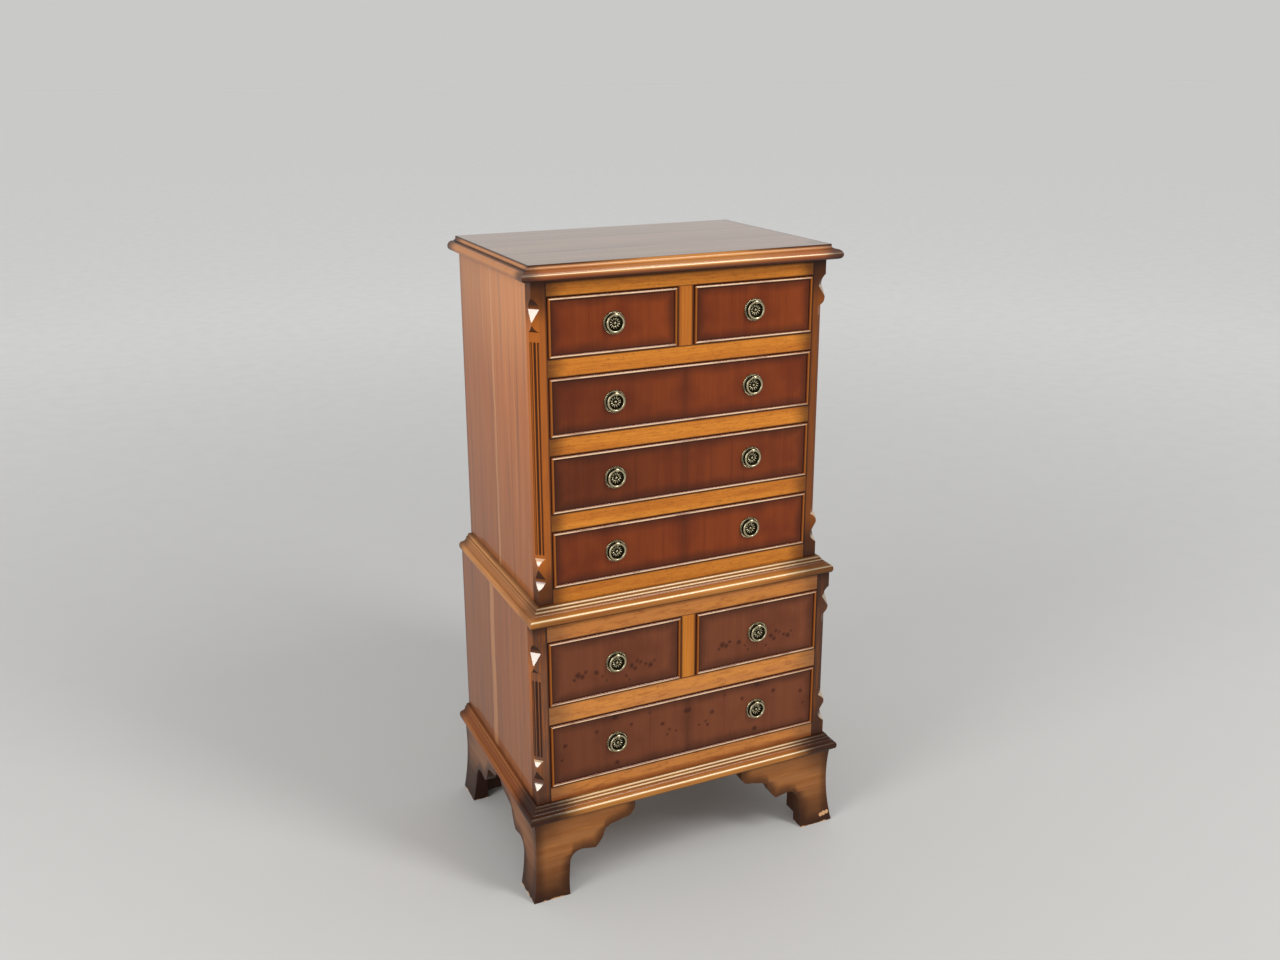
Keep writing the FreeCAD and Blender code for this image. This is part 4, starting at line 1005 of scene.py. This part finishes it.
class CHEST_OT_stage(bpy.types.Operator):
    """Set up the floor, the lamps, the daylight and the camera"""
    bl_idname = "chest.stage"
    bl_label = "Stage"

    def execute(self, context):
        stage = context.scene.chest_stage
        self.lay_floor(stage)
        self.light(context, stage)
        self.place_camera(context)
        context.scene.view_settings.view_transform = "Standard"
        return {"FINISHED"}

    def lay_floor(self, stage):
        """A wide pale floor with a faint mottle, paler where the lamps don't reach."""
        material, tree, place, parts = new_finish("studio_floor")
        mottle = add(tree, NOISE, {"Vector": place, "Scale": 1 / (60 * MM), "Detail": 4.0})
        away = add(tree, VECTOR_MATH, {0: place}, "LENGTH", out="Value")
        paint = stain(tree, stage.floor, stage.floor_far, away, 0.4, 4.5)
        darker = [channel * 0.93 for channel in stage.floor[:3]] + [1.0]
        paint = stain(tree, paint, darker, mottle, 0.3, 0.8, 0.1)
        surfaced(material, {"Base Color": paint, "Roughness": 0.8})
        shape = bmesh.new()
        bmesh.ops.create_grid(shape, x_segments=1, y_segments=1, size=60.0)
        floor = new_piece("floor", shape, material)

    def light(self, context, stage):
        """A tall lamp above and right of the front, one at the left like a window, and even daylight."""
        # Name, power, width, height, place and what the lamp points at, in metres
        lamps = (
            ("right_lamp", stage.right_watts, 0.6, 1.6, (1.1, -1.7, 2.55), (0.0, -0.1, 0.5)),
            ("window_lamp", stage.window_watts, 1.0, 2.0, (-2.2, -0.78, 1.6), (0.0, -0.1, 0.6)),
        )
        for name, watts, width, height, spot, aim in lamps:
            lamp = bpy.data.lights.new(name, "AREA")
            lamp.energy = watts
            lamp.shape = "RECTANGLE"
            lamp.size, lamp.size_y = width, height
            holder = bpy.data.objects.new(name, lamp)
            holder.location = spot
            holder.rotation_euler = (Vector(aim) - Vector(spot)).to_track_quat("-Z", "Y").to_euler()
            holder.visible_camera = False
            context.scene.collection.objects.link(holder)
        world = bpy.data.worlds.new("daylight")
        world.use_nodes = True
        tree = world.node_tree
        tree.nodes.clear()
        # The backdrop is what the camera sees, in metal and lacquer too, and the daylight lights the chest
        direct, mirrored, passed = add(
            tree, "ShaderNodeLightPath", out=("Is Camera Ray", "Is Glossy Ray", "Is Transmission Ray"))
        seen = calc(tree, "MAXIMUM", direct, mirrored)
        seen = calc(tree, "MAXIMUM", seen, passed)
        daylight = add(tree, "ShaderNodeBackground", {"Color": stage.sky, "Strength": stage.sky_strength})
        backdrop = add(tree, "ShaderNodeBackground", {"Color": stage.backdrop})
        both = add(tree, "ShaderNodeMixShader", {0: seen, 1: daylight, 2: backdrop})
        add(tree, "ShaderNodeOutputWorld", {"Surface": both})
        context.scene.world = world

    def place_camera(self, context):
        """The camera at the photograph's place: a 35 mm lens, from the left and a little above."""
        camera = bpy.data.cameras.new("camera")
        camera.sensor_width = 36.0
        camera.lens = 35.0
        camera.shift_y = CAMERA_SHIFT
        holder = bpy.data.objects.new("camera", camera)
        holder.location = Vector(CAMERA_PLACE) * MM
        aim = Euler((math.pi / 2 + CAMERA_PITCH, 0.0, -CAMERA_YAW)).to_quaternion()
        holder.rotation_euler = (aim @ Quaternion((0.0, 0.0, 1.0), CAMERA_ROLL)).to_euler()
        context.scene.collection.objects.link(holder)
        context.scene.camera = holder


OPERATORS = (
    CHEST_OT_top, CHEST_OT_sides, CHEST_OT_posts, CHEST_OT_rails, CHEST_OT_mouldings, CHEST_OT_feet,
    CHEST_OT_carcase, CHEST_OT_drawers, CHEST_OT_pulls, CHEST_OT_stage,
)


class CHEST_PT_dressing(bpy.types.Panel):
    """The operators and the sizes and colours that they use"""
    bl_idname = "CHEST_PT_dressing"
    bl_label = "Chest on chest"
    bl_space_type = "VIEW_3D"
    bl_region_type = "UI"
    bl_category = "Chest"

    def draw(self, context):
        for operator in OPERATORS:
            self.layout.operator(operator.bl_idname)
        for group in (context.scene.chest_finish, context.scene.chest_pulls, context.scene.chest_stage):
            for name in group.__annotations__:
                self.layout.prop(group, name)


GROUPS = {"chest_finish": ChestFinish, "chest_pulls": PullSizes, "chest_stage": ChestStage}


def register():
    """Make the settings, the operators and the panel known."""
    for name, group in GROUPS.items():
        bpy.utils.register_class(group)
        setattr(bpy.types.Scene, name, PointerProperty(type=group))
    for kind in OPERATORS + (CHEST_PT_dressing,):
        bpy.utils.register_class(kind)


def unregister():
    """Take the panel, the operators and the settings away again."""
    for kind in (CHEST_PT_dressing,) + OPERATORS[::-1]:
        bpy.utils.unregister_class(kind)
    for name, group in GROUPS.items():
        delattr(bpy.types.Scene, name)
        bpy.utils.unregister_class(group)


def main():
    """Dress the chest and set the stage."""
    register()
    for operator in OPERATORS:
        family, name = operator.bl_idname.split(".")
        getattr(getattr(bpy.ops, family), name)()


if __name__ == "__main__":
    main()
